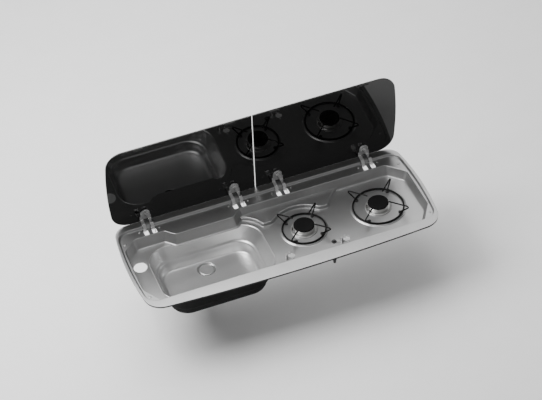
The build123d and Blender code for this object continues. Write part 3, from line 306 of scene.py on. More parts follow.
def turned(name, profile, place, count=96):
    """A closed turned piece. Its profile holds radii and heights above the place, and runs from the axis or
    the bore round the outside and back."""
    x, y, base = place
    skin = Skin()
    loops = []
    for radius, height in profile:
        if radius:
            loops.append(skin.loop(circle_loop(x, y, radius, count), base + height))
        else:
            loops.append(skin.loop([(x, y)], base + height))
    for a, b in zip(loops, loops[1:]):
        for i in range(count):
            j = (i + 1) % count
            if len(a) == 1:
                skin.faces.append((a[0], b[i], b[j]))
            elif len(b) == 1:
                skin.faces.append((a[i], b[0], a[j]))
            else:
                skin.faces.append((a[i], b[i], b[j], a[j]))
    return tidied(skin.piece(name))


def thickened(obj, thickness, offset=-1.0):
    solid = obj.modifiers.new("Sheet", "SOLIDIFY")
    solid.thickness = thickness
    solid.offset = offset
    solid.use_quality_normals = True
    return obj


def evened(obj):
    """Shading that keeps the flat faces flat beside rounded ones."""
    even = obj.modifiers.new("Shading", "WEIGHTED_NORMAL")
    even.weight = FLAT_WEIGHT
    even.keep_sharp = True
    return obj


def tidied(obj):
    """Merges doubles, turns the faces outwards and marks the sharp edges."""
    work = bmesh.new()
    work.from_mesh(obj.data)
    bmesh.ops.remove_doubles(work, verts=work.verts, dist=MESH_TOUCH)
    bmesh.ops.recalc_face_normals(work, faces=work.faces)
    for edge in work.edges:
        if len(edge.link_faces) == 2:
            edge.smooth = edge.calc_face_angle() < SHARP_ANGLE
    work.to_mesh(obj.data)
    work.free()
    return obj


def plain_mesh(obj, name):
    """What an object looks like with its modifiers, as a plain mesh."""
    graph = bpy.context.evaluated_depsgraph_get()
    mesh = bpy.data.meshes.new_from_object(obj.evaluated_get(graph))
    mesh.name = name
    obj.modifiers.clear()
    return mesh


def finished(obj, material, body, replaced=()):
    """Gives a piece its material, hangs it under its body's empty and hides the CAD nodes that it stands for.
    """
    obj.data.materials.clear()
    obj.data.materials.append(material)
    for face in obj.data.polygons:
        face.material_index = 0
    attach(obj, body)
    if replaced:
        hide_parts(*replaced)
    return obj


def dressed(material, *names):
    """Gives CAD nodes that stay a better material."""
    for name in names:
        obj = frame["nodes"][name]
        if not obj.material_slots:
            obj.data.materials.append(material)
        for place in obj.material_slots:
            place.material = material


# Node trees

RING_STEPS = 128
WIRE_SIDES = 16
BEND_STEPS = 10


def new_node(tree, kind, inputs=None, **settings):
    """A node with its settings. Each of its inputs gets another node's output or a value."""
    node = tree.nodes.new(kind)
    for name, value in settings.items():
        setattr(node, name, value)
    for name, value in (inputs or {}).items():
        if isinstance(value, bpy.types.NodeSocket):
            tree.links.new(value, node.inputs[name])
        else:
            node.inputs[name].default_value = value
    return node


def new_tree(name, sockets):
    """A geometry tree with a Geometry input and output and the named inputs."""
    tree = bpy.data.node_groups.new(name, "GeometryNodeTree")
    for label, kind in {"Geometry": "Geometry", **sockets}.items():
        tree.interface.new_socket(label, in_out="INPUT", socket_type=f"NodeSocket{kind}")
    tree.interface.new_socket("Geometry", in_out="OUTPUT", socket_type="NodeSocketGeometry")
    return tree, new_node(tree, "NodeGroupInput")


def close_tree(tree, start, geometry):
    """Ends a tree in Realize Instances and Set Material."""
    real = new_node(tree, "GeometryNodeRealizeInstances", {"Geometry": geometry})
    inputs = {"Geometry": real.outputs["Geometry"], "Material": start.outputs["Material"]}
    paint = new_node(tree, "GeometryNodeSetMaterial", inputs)
    new_node(tree, "NodeGroupOutput", {"Geometry": paint.outputs["Geometry"]})


def grown(name, base, tree, values):
    """Runs a tree on a base object and keeps the result as a plain mesh at the origin."""
    modifier = base.modifiers.new(name, "NODES")
    modifier.node_group = tree
    for item in tree.interface.items_tree:
        if item.in_out == "INPUT" and item.name in values:
            modifier[item.identifier] = values[item.name]
    obj = linked(name, plain_mesh(base, name))
    bpy.data.objects.remove(base)
    return obj


def repeat_tree():
    """Copies of a template on the points of the base, turned by their turn attribute."""
    name = "Repeat on Points"
    if name in bpy.data.node_groups:
        return bpy.data.node_groups[name]
    tree, start = new_tree(name, {"Template": "Object", "Material": "Material"})
    info = new_node(tree, "GeometryNodeObjectInfo", {"Object": start.outputs["Template"]})
    turn = new_node(tree, "GeometryNodeInputNamedAttribute", {"Name": "turn"}, data_type="FLOAT_VECTOR")
    inputs = {
        "Points": start.outputs["Geometry"],
        "Instance": info.outputs["Geometry"],
        "Rotation": turn.outputs["Attribute"],
    }
    copies = new_node(tree, "GeometryNodeInstanceOnPoints", inputs)
    close_tree(tree, start, copies.outputs["Instances"])
    return tree


def repeated(name, template, places, material):
    """Copies of a template object at places, each a point in millimetres and a turn about Z in radians."""
    mesh = bpy.data.meshes.new(name + "_places")
    mesh.from_pydata([tuple(c * MM for c in point) for point, _ in places], [], [])
    turns = mesh.attributes.new("turn", "FLOAT_VECTOR", "POINT")
    for i, (_, turn) in enumerate(places):
        turns.data[i].vector = (0.0, 0.0, turn)
    base = linked(name + "_places", mesh)
    obj = grown(name, base, repeat_tree(), {"Template": template, "Material": material})
    bpy.data.objects.remove(template)
    return obj


def wire_tree():
    """A wire ring with bent prongs spread round it, as one mesh."""
    name = "Wire Trivet"
    if name in bpy.data.node_groups:
        return bpy.data.node_groups[name]
    sockets = {
        "Ring Radius": "Float",
        "Ring Wire": "Float",
        "Prong Wire": "Float",
        "Bend Radius": "Float",
        "Prongs": "Int",
        "First Turn": "Float",
        "Centre": "Vector",
        "Material": "Material",
    }
    tree, start = new_tree(name, sockets)
    given = start.outputs

    def circle(radius, steps):
        inputs = {"Radius": given[radius], "Resolution": steps}
        return new_node(tree, "GeometryNodeCurvePrimitiveCircle", inputs).outputs["Curve"]

    def wire(path, radius):
        inputs = {"Curve": path, "Profile Curve": circle(radius, WIRE_SIDES), "Fill Caps": True}
        return new_node(tree, "GeometryNodeCurveToMesh", inputs).outputs["Mesh"]

    inputs = {"Curve": given["Geometry"], "Radius": given["Bend Radius"], "Count": BEND_STEPS}
    bend = new_node(tree, "GeometryNodeFilletCurve", inputs, mode="POLY")
    prong = wire(bend.outputs["Curve"], "Prong Wire")
    ring = wire(circle("Ring Radius", RING_STEPS), "Ring Wire")
    index = new_node(tree, "GeometryNodeInputIndex")
    share = new_node(tree, "ShaderNodeMath", {0: 2 * math.pi, 1: given["Prongs"]}, operation="DIVIDE")
    inputs = {0: index.outputs["Index"], 1: share.outputs["Value"], 2: given["First Turn"]}
    turn = new_node(tree, "ShaderNodeMath", inputs, operation="MULTIPLY_ADD")
    about = new_node(tree, "ShaderNodeCombineXYZ", {"Z": turn.outputs["Value"]})
    spots = new_node(tree, "GeometryNodePoints", {"Count": given["Prongs"]})
    inputs = {"Points": spots.outputs["Points"], "Instance": prong, "Rotation": about.outputs["Vector"]}
    prongs = new_node(tree, "GeometryNodeInstanceOnPoints", inputs)
    join = new_node(tree, "GeometryNodeJoinGeometry", {"Geometry": ring})
    tree.links.new(prongs.outputs["Instances"], join.inputs["Geometry"])
    inputs = {"Geometry": join.outputs["Geometry"], "Translation": given["Centre"]}
    move = new_node(tree, "GeometryNodeTransform", inputs)
    smooth = new_node(tree, "GeometryNodeSetShadeSmooth", {"Geometry": move.outputs["Geometry"]})
    close_tree(tree, start, smooth.outputs["Geometry"])
    return tree


# Materials

# A grain's scale along X, Y and Z, its variation of colour and of roughness, and its depth in metres
Grain = namedtuple("Grain", "scale spread wear relief")
FINE_DETAIL = 5.0
BROAD_SCALE, BROAD_DETAIL = 14.0, 4.0
RAMP_ENDS = (0.3, 0.7)
LEAST_ROUGHNESS = 0.01
BUMP_STRENGTH = 0.6


def noise(tree, place, scale, detail):
    inputs = {"Vector": place, "Scale": scale, "Detail": detail}
    return new_node(tree, "ShaderNodeTexNoise", inputs).outputs["Fac"]


def surface(name, colour, roughness, grain, **sockets):
    """A finish with a grain. Other sockets of its shader are set by their names."""
    if name in bpy.data.materials:
        return bpy.data.materials[name]
    material = bpy.data.materials.new(name)
    material.use_nodes = True
    tree = material.node_tree
    shader = tree.nodes["Principled BSDF"]
    for label, value in sockets.items():
        shader.inputs[label.replace("_", " ")].default_value = value
    place = new_node(tree, "ShaderNodeTexCoord").outputs["Object"]
    scaled = new_node(tree, "ShaderNodeMapping", {"Vector": place, "Scale": grain.scale})
    fine = noise(tree, scaled.outputs["Vector"], 1.0, FINE_DETAIL)
    ramp = new_node(tree, "ShaderNodeValToRGB", {"Fac": noise(tree, place, BROAD_SCALE, BROAD_DETAIL)})
    for i, factor in enumerate((1 - grain.spread, 1 + grain.spread)):
        end = ramp.color_ramp.elements[i]
        end.position = RAMP_ENDS[i]
        end.color = (*(min(max(c * factor, 0.0), 1.0) for c in colour), 1.0)
    least, most = max(roughness - grain.wear, LEAST_ROUGHNESS), roughness + grain.wear
    rough = new_node(tree, "ShaderNodeMapRange", {"Value": fine, "To Min": least, "To Max": most})
    inputs = {"Height": fine, "Strength": BUMP_STRENGTH, "Distance": grain.relief}
    bump = new_node(tree, "ShaderNodeBump", inputs)
    tree.links.new(ramp.outputs["Color"], shader.inputs["Base Color"])
    tree.links.new(rough.outputs["Result"], shader.inputs["Roughness"])
    tree.links.new(bump.outputs["Normal"], shader.inputs["Normal"])
    return material


def tray_steel():
    look = bpy.context.scene.hob_tray
    grain = Grain(scale=(30.0, 2600.0, 900.0), spread=0.05, wear=0.05, relief=0.00001)
    return surface("satin_pressed_steel", look.steel_colour, look.steel_roughness, grain, Metallic=1.0)


def bowl_steel():
    look = bpy.context.scene.hob_bowl
    grain = Grain(scale=(700.0, 700.0, 90.0), spread=0.04, wear=0.04, relief=0.000006)
    return surface("polished_drawn_steel", look.steel_colour, look.steel_roughness, grain, Metallic=1.0)


def bright_steel():
    grain = Grain(scale=alike(500.0), spread=0.06, wear=0.06, relief=0.000008)
    return surface("bright_plated_steel", alike(0.62), 0.2, grain, Metallic=1.0)


def plain_steel():
    grain = Grain(scale=(300.0, 300.0, 1800.0), spread=0.08, wear=0.08, relief=0.00001)
    return surface("plain_turned_steel", alike(0.45), 0.34, grain, Metallic=1.0)


# Painted shade: near-black steel that stands for the shade the gas inlet and its nut sit in, not for a
# blackened finish
def shade_painted_steel():
    grain = Grain(scale=alike(600.0), spread=0.2, wear=0.08, relief=0.00002)
    return surface("blackened_pipe_steel", alike(0.012), 0.5, grain, Metallic=0.3)


def enamel_wire():
    look = bpy.context.scene.hob_trivet
    grain = Grain(scale=alike(700.0), spread=0.3, wear=0.08, relief=0.00003)
    return surface("black_wire_enamel", look.enamel_colour, 0.45, grain, Specular_IOR_Level=0.15)


def enamel_cap():
    look = bpy.context.scene.hob_burner
    grain = Grain(scale=alike(1100.0), spread=0.3, wear=0.1, relief=0.00004)
    return surface("matt_cap_enamel", look.cap_colour, 0.7, grain, Specular_IOR_Level=0.1)


def cast_aluminium():
    look = bpy.context.scene.hob_burner
    grain = Grain(scale=alike(900.0), spread=0.08, wear=0.1, relief=0.00004)
    return surface("cast_burner_aluminium", look.metal_colour, 0.4, grain, Metallic=1.0)


def coat_black():
    grain = Grain(scale=alike(420.0), spread=0.4, wear=0.1, relief=0.0002)
    return surface("sound_damping_coat", alike(0.006), 0.85, grain, Specular_IOR_Level=0.2)


def black_rubber():
    grain = Grain(scale=alike(800.0), spread=0.3, wear=0.1, relief=0.00005)
    return surface("soft_black_rubber", alike(0.012), 0.75, grain)


def black_plastic():
    grain = Grain(scale=alike(1200.0), spread=0.2, wear=0.08, relief=0.00003)
    return surface("moulded_black_plastic", alike(0.02), 0.5, grain)


def machined_brass():
    grain = Grain(scale=(200.0, 200.0, 2400.0), spread=0.1, wear=0.08, relief=0.00001)
    return surface("machined_brass", (0.70, 0.55, 0.28), 0.3, grain, Metallic=1.0)


def glazed_ceramic():
    grain = Grain(scale=alike(300.0), spread=0.05, wear=0.05, relief=0.00001)
    return surface("glazed_dark_ceramic", (0.02, 0.018, 0.016), 0.3, grain)


def dark_glass():
    look = bpy.context.scene.hob_lid
    grain = Grain(scale=alike(9.0), spread=0.25, wear=0.004, relief=0.0)
    return surface("dark_mirror_glass", look.glass_colour, look.glass_roughness, grain, IOR=look.glass_ior)


def floor_paper():
    look = bpy.context.scene.hob_stage
    grain = Grain(scale=alike(6.0), spread=0.01, wear=0.03, relief=0.00005)
    return surface("floor_paper", look.floor_colour, 0.9, grain)


# What a user would change


def length_setting(name, description, default):
    return FloatProperty(name=name, description=description, default=default, unit="LENGTH")


def power_setting(name, description, default):
    return FloatProperty(name=name, description=description, default=default, unit="POWER")


def factor_setting(name, description, default):
    return FloatProperty(name=name, description=description, default=default, subtype="FACTOR")


def colour_setting(name, description, default):
    return FloatVectorProperty(name=name, description=description, default=default, subtype="COLOR", size=3)


class TrayLook(bpy.types.PropertyGroup):
    """Settings of the pressed tray."""

    edge_round: length_setting("Edge Rounding", "How far each press line is rounded", 0.0024)
    steel_colour: colour_setting("Steel Colour", "Colour of the tray's steel", alike(0.40))
    steel_roughness: factor_setting("Steel Roughness", "How satin the tray's steel is", 0.40)


class BowlLook(bpy.types.PropertyGroup):
    """Settings of the sink bowl."""

    floor_round: length_setting("Floor Rounding", "How far the bowl's foot is rounded", 0.02)
    steel_colour: colour_setting("Bowl Colour", "Colour of the bowl's steel", alike(0.66))
    steel_roughness: factor_setting("Bowl Roughness", "How polished the bowl is", 0.36)


class BurnerLook(bpy.types.PropertyGroup):
    """Settings of the two burners."""

    slots: IntProperty(name="Flame Slots", description="Number of slots round a crown", default=24, min=8)
    metal_colour: colour_setting("Burner Colour", "Colour of the cast burner metal", (0.62, 0.62, 0.61))
    cap_colour: colour_setting("Cap Colour", "Colour of the burner caps", alike(0.004))


class TrivetLook(bpy.types.PropertyGroup):
    """Settings of the wire trivets."""

    ring_wire: length_setting("Ring Wire", "Diameter of the ring's wire", 0.005)
    prong_wire: length_setting("Prong Wire", "Diameter of the prongs' wire", 0.004)
    prongs: IntProperty(name="Prongs", description="Number of prongs on a ring", default=4, min=3)
    enamel_colour: colour_setting("Enamel Colour", "Colour of the wire's enamel", alike(0.004))


class LidLook(bpy.types.PropertyGroup):
    """Settings of the glass lid."""

    edge_round: length_setting("Edge Rounding", "Rounding of the ground glass edge", 0.0006)
    glass_colour: colour_setting("Glass Colour", "Colour of the dark glass", alike(0.002))
    glass_roughness: factor_setting("Glass Roughness", "How blurred the glass mirrors", 0.02)
    glass_ior: FloatProperty(name="Glass Mirror", description="Refractive index of the glass", default=1.55)


class HardwareLook(bpy.types.PropertyGroup):
    """Settings of the screws."""

    recess_depth: length_setting("Recess Depth", "Depth of the cross recess in a screw head", 0.0008)


class StageLook(bpy.types.PropertyGroup):
    """Settings of the floor, the lights and the camera."""

    floor_colour: colour_setting("Floor Colour", "Colour of the plain floor", alike(0.92))
    key_power: power_setting("Key Light", "Power of the large soft light", 70.0)
    top_power: power_setting("Top Light", "Power of the wide light overhead", 60.0)
    surround: FloatProperty(name="Surround", description="Strength of the light all round", default=0.32)
    lens: FloatProperty(name="Lens", description="Focal length in millimetres", default=137.6)


# Tray

RIM = {"half": 450.0, "front": -185.0, "rear": 185.0, "bows": (16.6, 16.0, 2.2), "radii": (55.0, 45.0)}
RECESS = {"half": 441.0, "front": -140.0, "rear": 159.0, "bows": (10.0, 0.0, 0.0), "radii": (36.0, 36.0)}
# The recess has no more room than this to draw in at the front.
RECESS_FRONT_ROOM = 2.6

# The pocket's corners on the shelf, how far each side has drawn in at the floor, and each corner's radius
POCKET = [
    (-394.0, -137.0),
    (395.0, -137.0),
    (431.0, -77.0),
    (431.0, 74.0),
    (383.0, 124.0),
    (-73.0, 124.0),
    (-99.0, 97.5),
    (-275.0, 97.5),
    (-301.0, 124.0),
    (-392.0, 124.0),
    (-430.0, 88.0),
    (-430.0, -77.0),
]
POCKET_SLOPES = [5.0, 9.0, 9.0, 9.0, 12.0, 12.0, 12.0, 12.0, 12.0, 12.0, 2.0, 5.0]
POCKET_RADII = [16.0, 16.0, 16.0, 22.0, 22.0, 10.0, 10.0, 10.0, 10.0, 22.0, 22.0, 16.0]
# For lack of room the front side takes only a share of a growth, and the left one only a share of a draw-in.
FRONT_SIDE, LEFT_SIDE = 0, 10
FRONT_SHARE, LEFT_SHARE = 0.08, 0.33

# Profiles, where each point holds how far the outline is grown and its height. The pocket's points also hold
# the share of its depth first, and the pads' growth is on their radius.
RIM_PROFILE = [(-1.2, 0.0), (0.0, 0.0), (0.0, -0.5)]
RECESS_PROFILE = [(3.0, 0.0), (0.0, 0.0), (-3.0, SHELF_Z), (-5.0, SHELF_Z)]
POCKET_PROFILE = [(0.0, 2.5, SHELF_Z), (0.0, 0.0, SHELF_Z), (1.0, 0.0, FLOOR_Z), (1.0, -6.0, FLOOR_Z)]
PAD_PROFILE = [(6.0, FLOOR_Z), (3.5, FLOOR_Z), (0.0, PAD_Z), (-3.0, PAD_Z)]
RIM_CUT, RECESS_CUT_SHARE, POCKET_CUT, PAD_CUT = 0.5, 0.8, 5.0, 2.0

PAD_RADII = (66.0, 78.0)
BURNER_HOLE = 29.0
PAD_SIDES, BURNER_HOLE_SIDES, HOLE_SIDES = 96, 64, 40

# Round holes in the floor as x, y and radius
TAP_HOLE = (-403.0, 39.0, 19.5)
BUTTON_HOLE = (137.0, -86.0, 6.8)
PEEP_RADIUS = 10.5
SPINDLE_SHIFT = (-17.0, -8.0)
SPINDLE_RADIUS = 4.3

# Slots in the shelf for the hinge arms, two at each hinge
SLOT_SHIFT = 12.0
SLOT_HALF = 6.5
SLOT_FRONT, SLOT_REAR = 127.4, 153.4
SLOT_ROUND = 1.2


def rim_loop(grow):
    return bowed_loop(**RIM, grows=(grow, grow, grow))


def recess_loop(grow):
    return bowed_loop(**RECESS, grows=(grow, max(grow, -RECESS_FRONT_ROOM), grow))


def pocket_loop(share, grow):
    """The pocket's outline at a share of its depth, grown outwards. It grows less where there is no room."""
    room = {FRONT_SIDE: FRONT_SHARE, LEFT_SIDE: LEFT_SHARE if grow < 0 else 1.0}
    shifts = [grow * room.get(i, 1.0) - slope * share for i, slope in enumerate(POCKET_SLOPES)]
    radii = []
    for i, (bx, by) in enumerate(POCKET):
        (ax, ay), (cx, cy) = POCKET[i - 1], POCKET[(i + 1) % len(POCKET)]
        turn = (bx - ax) * (cy - by) - (by - ay) * (cx - bx)
        radii.append(POCKET_RADII[i] + (grow if turn > 0 else -grow))
    return rounded_loop(moved_outline(POCKET, shifts), radii)


def slot_loop(x):
    return rounded_loop(rectangle(x - SLOT_HALF, x + SLOT_HALF, SLOT_FRONT, SLOT_REAR), [SLOT_ROUND] * 4, 3)


def floor_holes():
    holes = [TAP_HOLE, BUTTON_HOLE]
    for x, y in PEEPS:
        holes += [(x, y, PEEP_RADIUS), (x + SPINDLE_SHIFT[0], y + SPINDLE_SHIFT[1], SPINDLE_RADIUS)]
    return holes


# The ledge's front edge follows these circles, given as x, y and radius, and runs straight between them.
LEDGE_ARCS = ((*BURNERS[0], 96.0), (*BURNERS[1], 146.0), (-103.0, 34.5, 80.0))
LEDGE_STRAIGHT_Y = 57.0
LEDGE_SOFTNESS = 3.5
LEDGE_LEFT, LEDGE_RIGHT = -76.5, 227.5
LEDGE_STEPS = 170
# The foot of the ledge lies this far under the floor's surface, inside the sheet.
LEDGE_SINK = 0.15
LEDGE_PROFILE = [(5.0, FLOOR_Z - LEDGE_SINK), (3.0, FLOOR_Z - LEDGE_SINK), (0.0, LEDGE_Z), (-4.0, LEDGE_Z)]
LEDGE_CUT, LEDGE_CUT_SHARE = 2.2, 1.3
# Its top reaches back to the pocket's rear wall, to the wall's slanting part or over its least depth.
LEDGE_REAR_Y = 116.4
LEDGE_LEAST_DEPTH = 4.5
LEDGE_SLANT_X, LEDGE_SLANT_Y, LEDGE_SLANT = -67.1, 118.8, 1.02


def ledge_y(x):
    """The front edge of the ledge at x, where each stretch flows softly into the next."""
    heights = [LEDGE_STRAIGHT_Y]
    for cx, cy, radius in LEDGE_ARCS:
        if abs(x - cx) < radius:
            heights.append(cy + math.sqrt(radius**2 - (x - cx) ** 2))
    top = max(heights)
    return top + LEDGE_SOFTNESS * math.log(sum(math.exp((h - top) / LEDGE_SOFTNESS) for h in heights))


def ledge_back(x, y):
    """The back edge of the ledge's top at x, behind its front edge at y."""
    slant = LEDGE_SLANT_Y + (x - LEDGE_SLANT_X) * LEDGE_SLANT
    return max(y + LEDGE_LEAST_DEPTH, min(LEDGE_REAR_Y, slant))


class OBJECT_OT_hob_tray(bpy.types.Operator):
    """Build the pressed tray with its soft press lines"""

    bl_idname = "object.hob_tray"
    bl_label = "Pressed Tray"

    def execute(self, context):
        cut = context.scene.hob_tray.edge_round / MM
        tray = self.deck(cut)
        evened(thickened(tray, SHEET * MM))
        finished(tray, tray_steel(), "tray", ("deck",))
        ledge = self.ledge(cut)
        evened(thickened(ledge, LEDGE_SHEET * MM))
        finished(ledge, tray_steel(), "tray")
        return {"FINISHED"}

    def deck(self, cut):
        """The sheet from the rim to the pocket's floor, with its pads, slots and holes."""
        skin = Skin()
        _, rim_in = skin.stack(softened(RIM_PROFILE, [RIM_CUT], 3)[::-1], rim_loop)
        recess = softened(RECESS_PROFILE, [cut, cut * RECESS_CUT_SHARE])
        recess_out, recess_in = skin.stack(recess, recess_loop)
        skin.flat(rim_in, [recess_out])
        pocket_out, pocket_in = skin.stack(softened(POCKET_PROFILE, [cut, POCKET_CUT], 6), pocket_loop)
        arms = [x + shift for x in HINGES for shift in (-SLOT_SHIFT, SLOT_SHIFT)]
        skin.flat(recess_in, [pocket_out, *(skin.loop(slot_loop(x), SHELF_Z) for x in arms)])
        holes = [skin.loop(bowl_loop(BOWL_TOP_SHARE, BOWL_EDGE), FLOOR_Z)]
        holes += [self.pad(skin, x, y, radius) for (x, y), radius in zip(BURNERS, PAD_RADII)]
        holes += [skin.loop(circle_loop(*hole, HOLE_SIDES), FLOOR_Z) for hole in floor_holes()]
        skin.flat(pocket_in, holes)
        return skin.piece("pressed_tray")

    def pad(self, skin, x, y, radius):
        """The raised pad round a burner's hole. Returns the loop where it meets the floor."""
        rows = softened([(radius + grow, z) for grow, z in PAD_PROFILE], [PAD_CUT] * 2)
        outer, inner = skin.stack(rows, lambda r: circle_loop(x, y, r, PAD_SIDES))
        skin.flat(inner, [skin.loop(circle_loop(x, y, BURNER_HOLE, BURNER_HOLE_SIDES), PAD_Z)])
        return outer

    def ledge(self, cut):
        """The raised wavy ledge behind the left burner, which runs back into the pocket's wall."""
        step = (LEDGE_RIGHT - LEDGE_LEFT) / LEDGE_STEPS
        line = [Vector((x, ledge_y(x))) for x in (LEDGE_LEFT + step * i for i in range(LEDGE_STEPS + 1))]
        normals = []
        for i in range(len(line)):
            along = line[min(i + 1, LEDGE_STEPS)] - line[max(i - 1, 0)]
            normals.append(Vector((along.y, -along.x)).normalized())
        skin = Skin()
        rows = []
        for grow, z in softened(LEDGE_PROFILE, [LEDGE_CUT, cut * LEDGE_CUT_SHARE]):
            edge = [point + normal * grow for point, normal in zip(line, normals)]
            rows.append(skin.loop([(p.x, p.y) for p in edge], z))
        rows.append(skin.loop([(p.x, ledge_back(p.x, p.y)) for p in line], LEDGE_Z))
        for first, second in zip(rows, rows[1:]):
            skin.ribbon(first, second)
        return skin.piece("wavy_ledge")


# Bowl

# Places of the left, right, front and rear wall at the rim's height, and how far each moves down to the fold
BOWL_WALLS = ((-384.0, 20.0), (-24.0, -37.0), (-130.9, 0.4), (96.5, -12.0))
BOWL_MIDDLE = (-212.5, -20.0)
BOWL_CORNER = 62.0
BOWL_CORNER_STEPS = 16
BOWL_TOP_SHARE = FLOOR_Z / FOLD_Z
# The edge that lies on the floor is narrower at the front.
BOWL_EDGE = 3.5
BOWL_EDGE_FRONT = 0.2
# How far the wall draws in at the fold, and over what height. The foot's rounding is narrower at the back,
# where the drain is close to the wall.
FOLD = (7.0, 5.0)
FOOT_GROW = -12.0
REAR_FOOT_SHARE = 0.45
BOWL_CUTS = (3.5, 3.5, 4.0)
FOOT_CUT_SHARE = 0.95
DISH_PROFILE = [(28.4, BASIN_Z), (27.0, BASIN_Z), (26.8, DISH_Z), (20.0, DISH_Z)]
DISH_CUTS = (1.3, 1.5)
DISH_SIDES = 72
# A cut in the bowl and its dish may take this share of a side.
BOWL_LIMIT = 0.7
# The coat's top edge is this far under the floor. The normal of a face of its outer skin has a height under
# STEEP, and under UNDERNEATH the face belongs to the bottom.
COAT_DROP = 1.0
STEEP, UNDERNEATH = 0.05, -0.5


def bowl_loop(share, grow):
    """The bowl's outline at a share of its depth, grown outwards."""
    left, right, front, rear = (place + move * share for place, move in BOWL_WALLS)
    front_grow = BOWL_EDGE_FRONT if grow == BOWL_EDGE else grow
    rear_grow = max(grow, FOOT_GROW) + min(grow - FOOT_GROW, 0.0) * REAR_FOOT_SHARE
    corners = rectangle(left - grow, right + grow, front - front_grow, rear + rear_grow)
    return rounded_loop(corners, [BOWL_CORNER + grow] * 4, BOWL_CORNER_STEPS)


class OBJECT_OT_hob_bowl(bpy.types.Operator):
    """Build the sink bowl and the black coat under it"""

    bl_idname = "object.hob_bowl"
    bl_label = "Sink Bowl"

    def execute(self, context):
        rows = self.rows(context.scene.hob_bowl.floor_round / MM)
        bowl = self.shell("drawn_bowl", rows)
        evened(thickened(bowl, SHEET * MM))
        finished(bowl, bowl_steel(), "tray", ("sink_bowl",))
        coat = self.shell("bowl_coat_skin", [row for row in rows if row[-1] < FLOOR_Z - COAT_DROP])
        under = coat.modifiers.new("Coat", "SOLIDIFY")
        under.thickness, under.offset = (SHEET + COAT_GAP) * MM, -1.0
        coat.data = plain_mesh(coat, coat.name)
        self.peel(coat)
        thickened(coat, COAT * MM, 1.0)
        finished(coat, coat_black(), "tray", ("bowl_coat",))
        return {"FINISHED"}

    def rows(self, floor_round):
        """The bowl's profile. Each row holds the share of the depth, the growth and the height."""
        inset, drop = FOLD
        profile = [
            (BOWL_TOP_SHARE, BOWL_EDGE, FLOOR_Z),
            (BOWL_TOP_SHARE, 0.0, FLOOR_Z),
            (1.0, 0.0, FOLD_Z),
            (1.0, -inset, FOLD_Z - drop),
            (1.0, FOOT_GROW, BASIN_Z),
            (1.0, FOOT_GROW - floor_round, BASIN_Z),
        ]
        return softened(profile, [*BOWL_CUTS, floor_round * FOOT_CUT_SHARE], 7, BOWL_LIMIT)

    def shell(self, name, rows):
        """A skin of the bowl with its drain dish."""
        skin = Skin()
        _, inner = skin.stack(rows, bowl_loop)
        dish = softened(DISH_PROFILE, DISH_CUTS, 5, BOWL_LIMIT)
        outer, _ = skin.stack(dish, lambda r: circle_loop(*DRAIN, r, DISH_SIDES))
        skin.flat(inner, [outer])
        return skin.piece(name)

    def peel(self, obj):
        """Keeps only the outer skin of a thickened bowl."""
        work = bmesh.new()
        work.from_mesh(obj.data)
        gone = [face for face in work.faces if not self.outward(face)]
        bmesh.ops.delete(work, geom=gone, context="FACES")
        work.to_mesh(obj.data)
        work.free()

    def outward(self, face):
        middle = face.calc_center_median()
        out = Vector((middle.x - BOWL_MIDDLE[0] * MM, middle.y - BOWL_MIDDLE[1] * MM, 0.0))
        down = face.normal.z
        return down < STEEP and (down < UNDERNEATH or face.normal.dot(out) > 0)


# Turned pieces, whose profiles hold radii and heights above the place that each stands on

FLANGE_TOP = 1.5
FLANGE_PROFILE = [
    (18.2, -29.8), (19.7, -29.8), (19.7, REST_GAP), (26.7, REST_GAP), (26.7, 0.9),
    (26.0, FLANGE_TOP), (18.9, FLANGE_TOP), (18.2, 0.9), (18.2, -29.8),
]
PLUG_PROFILE = [
    (0.0, 1.5), (9.0, 1.5), (16.0, 1.75), (19.2, 2.0), (20.2, 1.9), (20.9, 1.3), (21.0, 0.7),
    (20.6, REST_GAP), (3.0, REST_GAP), (3.0, -13.2), (2.3, -14.0), (0.0, -14.0),
]
CROWN_RADII = (22.0, 26.0)
CROWN_HEIGHT = 11.5
CAP_HEIGHT = 14.5
BURNER_DISH_PROFILE = [
    (22.0, REST_GAP), (22.0, CROWN_HEIGHT), (26.0, CROWN_HEIGHT), (26.0, 4.0), (26.6, 3.0), (27.6, 2.5),
    (36.2, 2.5), (36.9, 2.8), (37.2, 3.5), (37.7, 3.7), (38.3, 3.5), (38.7, 2.8), (38.7, REST_GAP),
    (22.0, REST_GAP),
]
CAP_PROFILE = [
    (0.0, 4.9), (14.0, 4.9), (26.0, 5.0), (28.4, 4.9), (29.8, 4.2), (30.4, 3.2), (30.5, 2.0), (30.2, 0.6),
    (29.6, REST_GAP), (21.5, REST_GAP), (21.5, -3.0), (19.5, -3.0), (19.5, 1.0), (0.0, 1.0),
]
BURNER_SIDES = 128


class OBJECT_OT_hob_waste(bpy.types.Operator):
    """Build the waste flange and its plug"""

    bl_idname = "object.hob_waste"
    bl_label = "Waste and Plug"

    def execute(self, context):
        flange = turned("waste_flange_turned", FLANGE_PROFILE, (*DRAIN, DISH_Z))
        finished(flange, bright_steel(), "tray", ("waste_flange",))
        plug = turned("waste_plug_pressed", PLUG_PROFILE, (*DRAIN, DISH_Z + FLANGE_TOP))
        finished(plug, bowl_steel(), "plug", ("waste_plug",))
        dressed(black_rubber(), "waste_gasket", "plug_seal")
        dressed(black_plastic(), "waste_body")
        return {"FINISHED"}


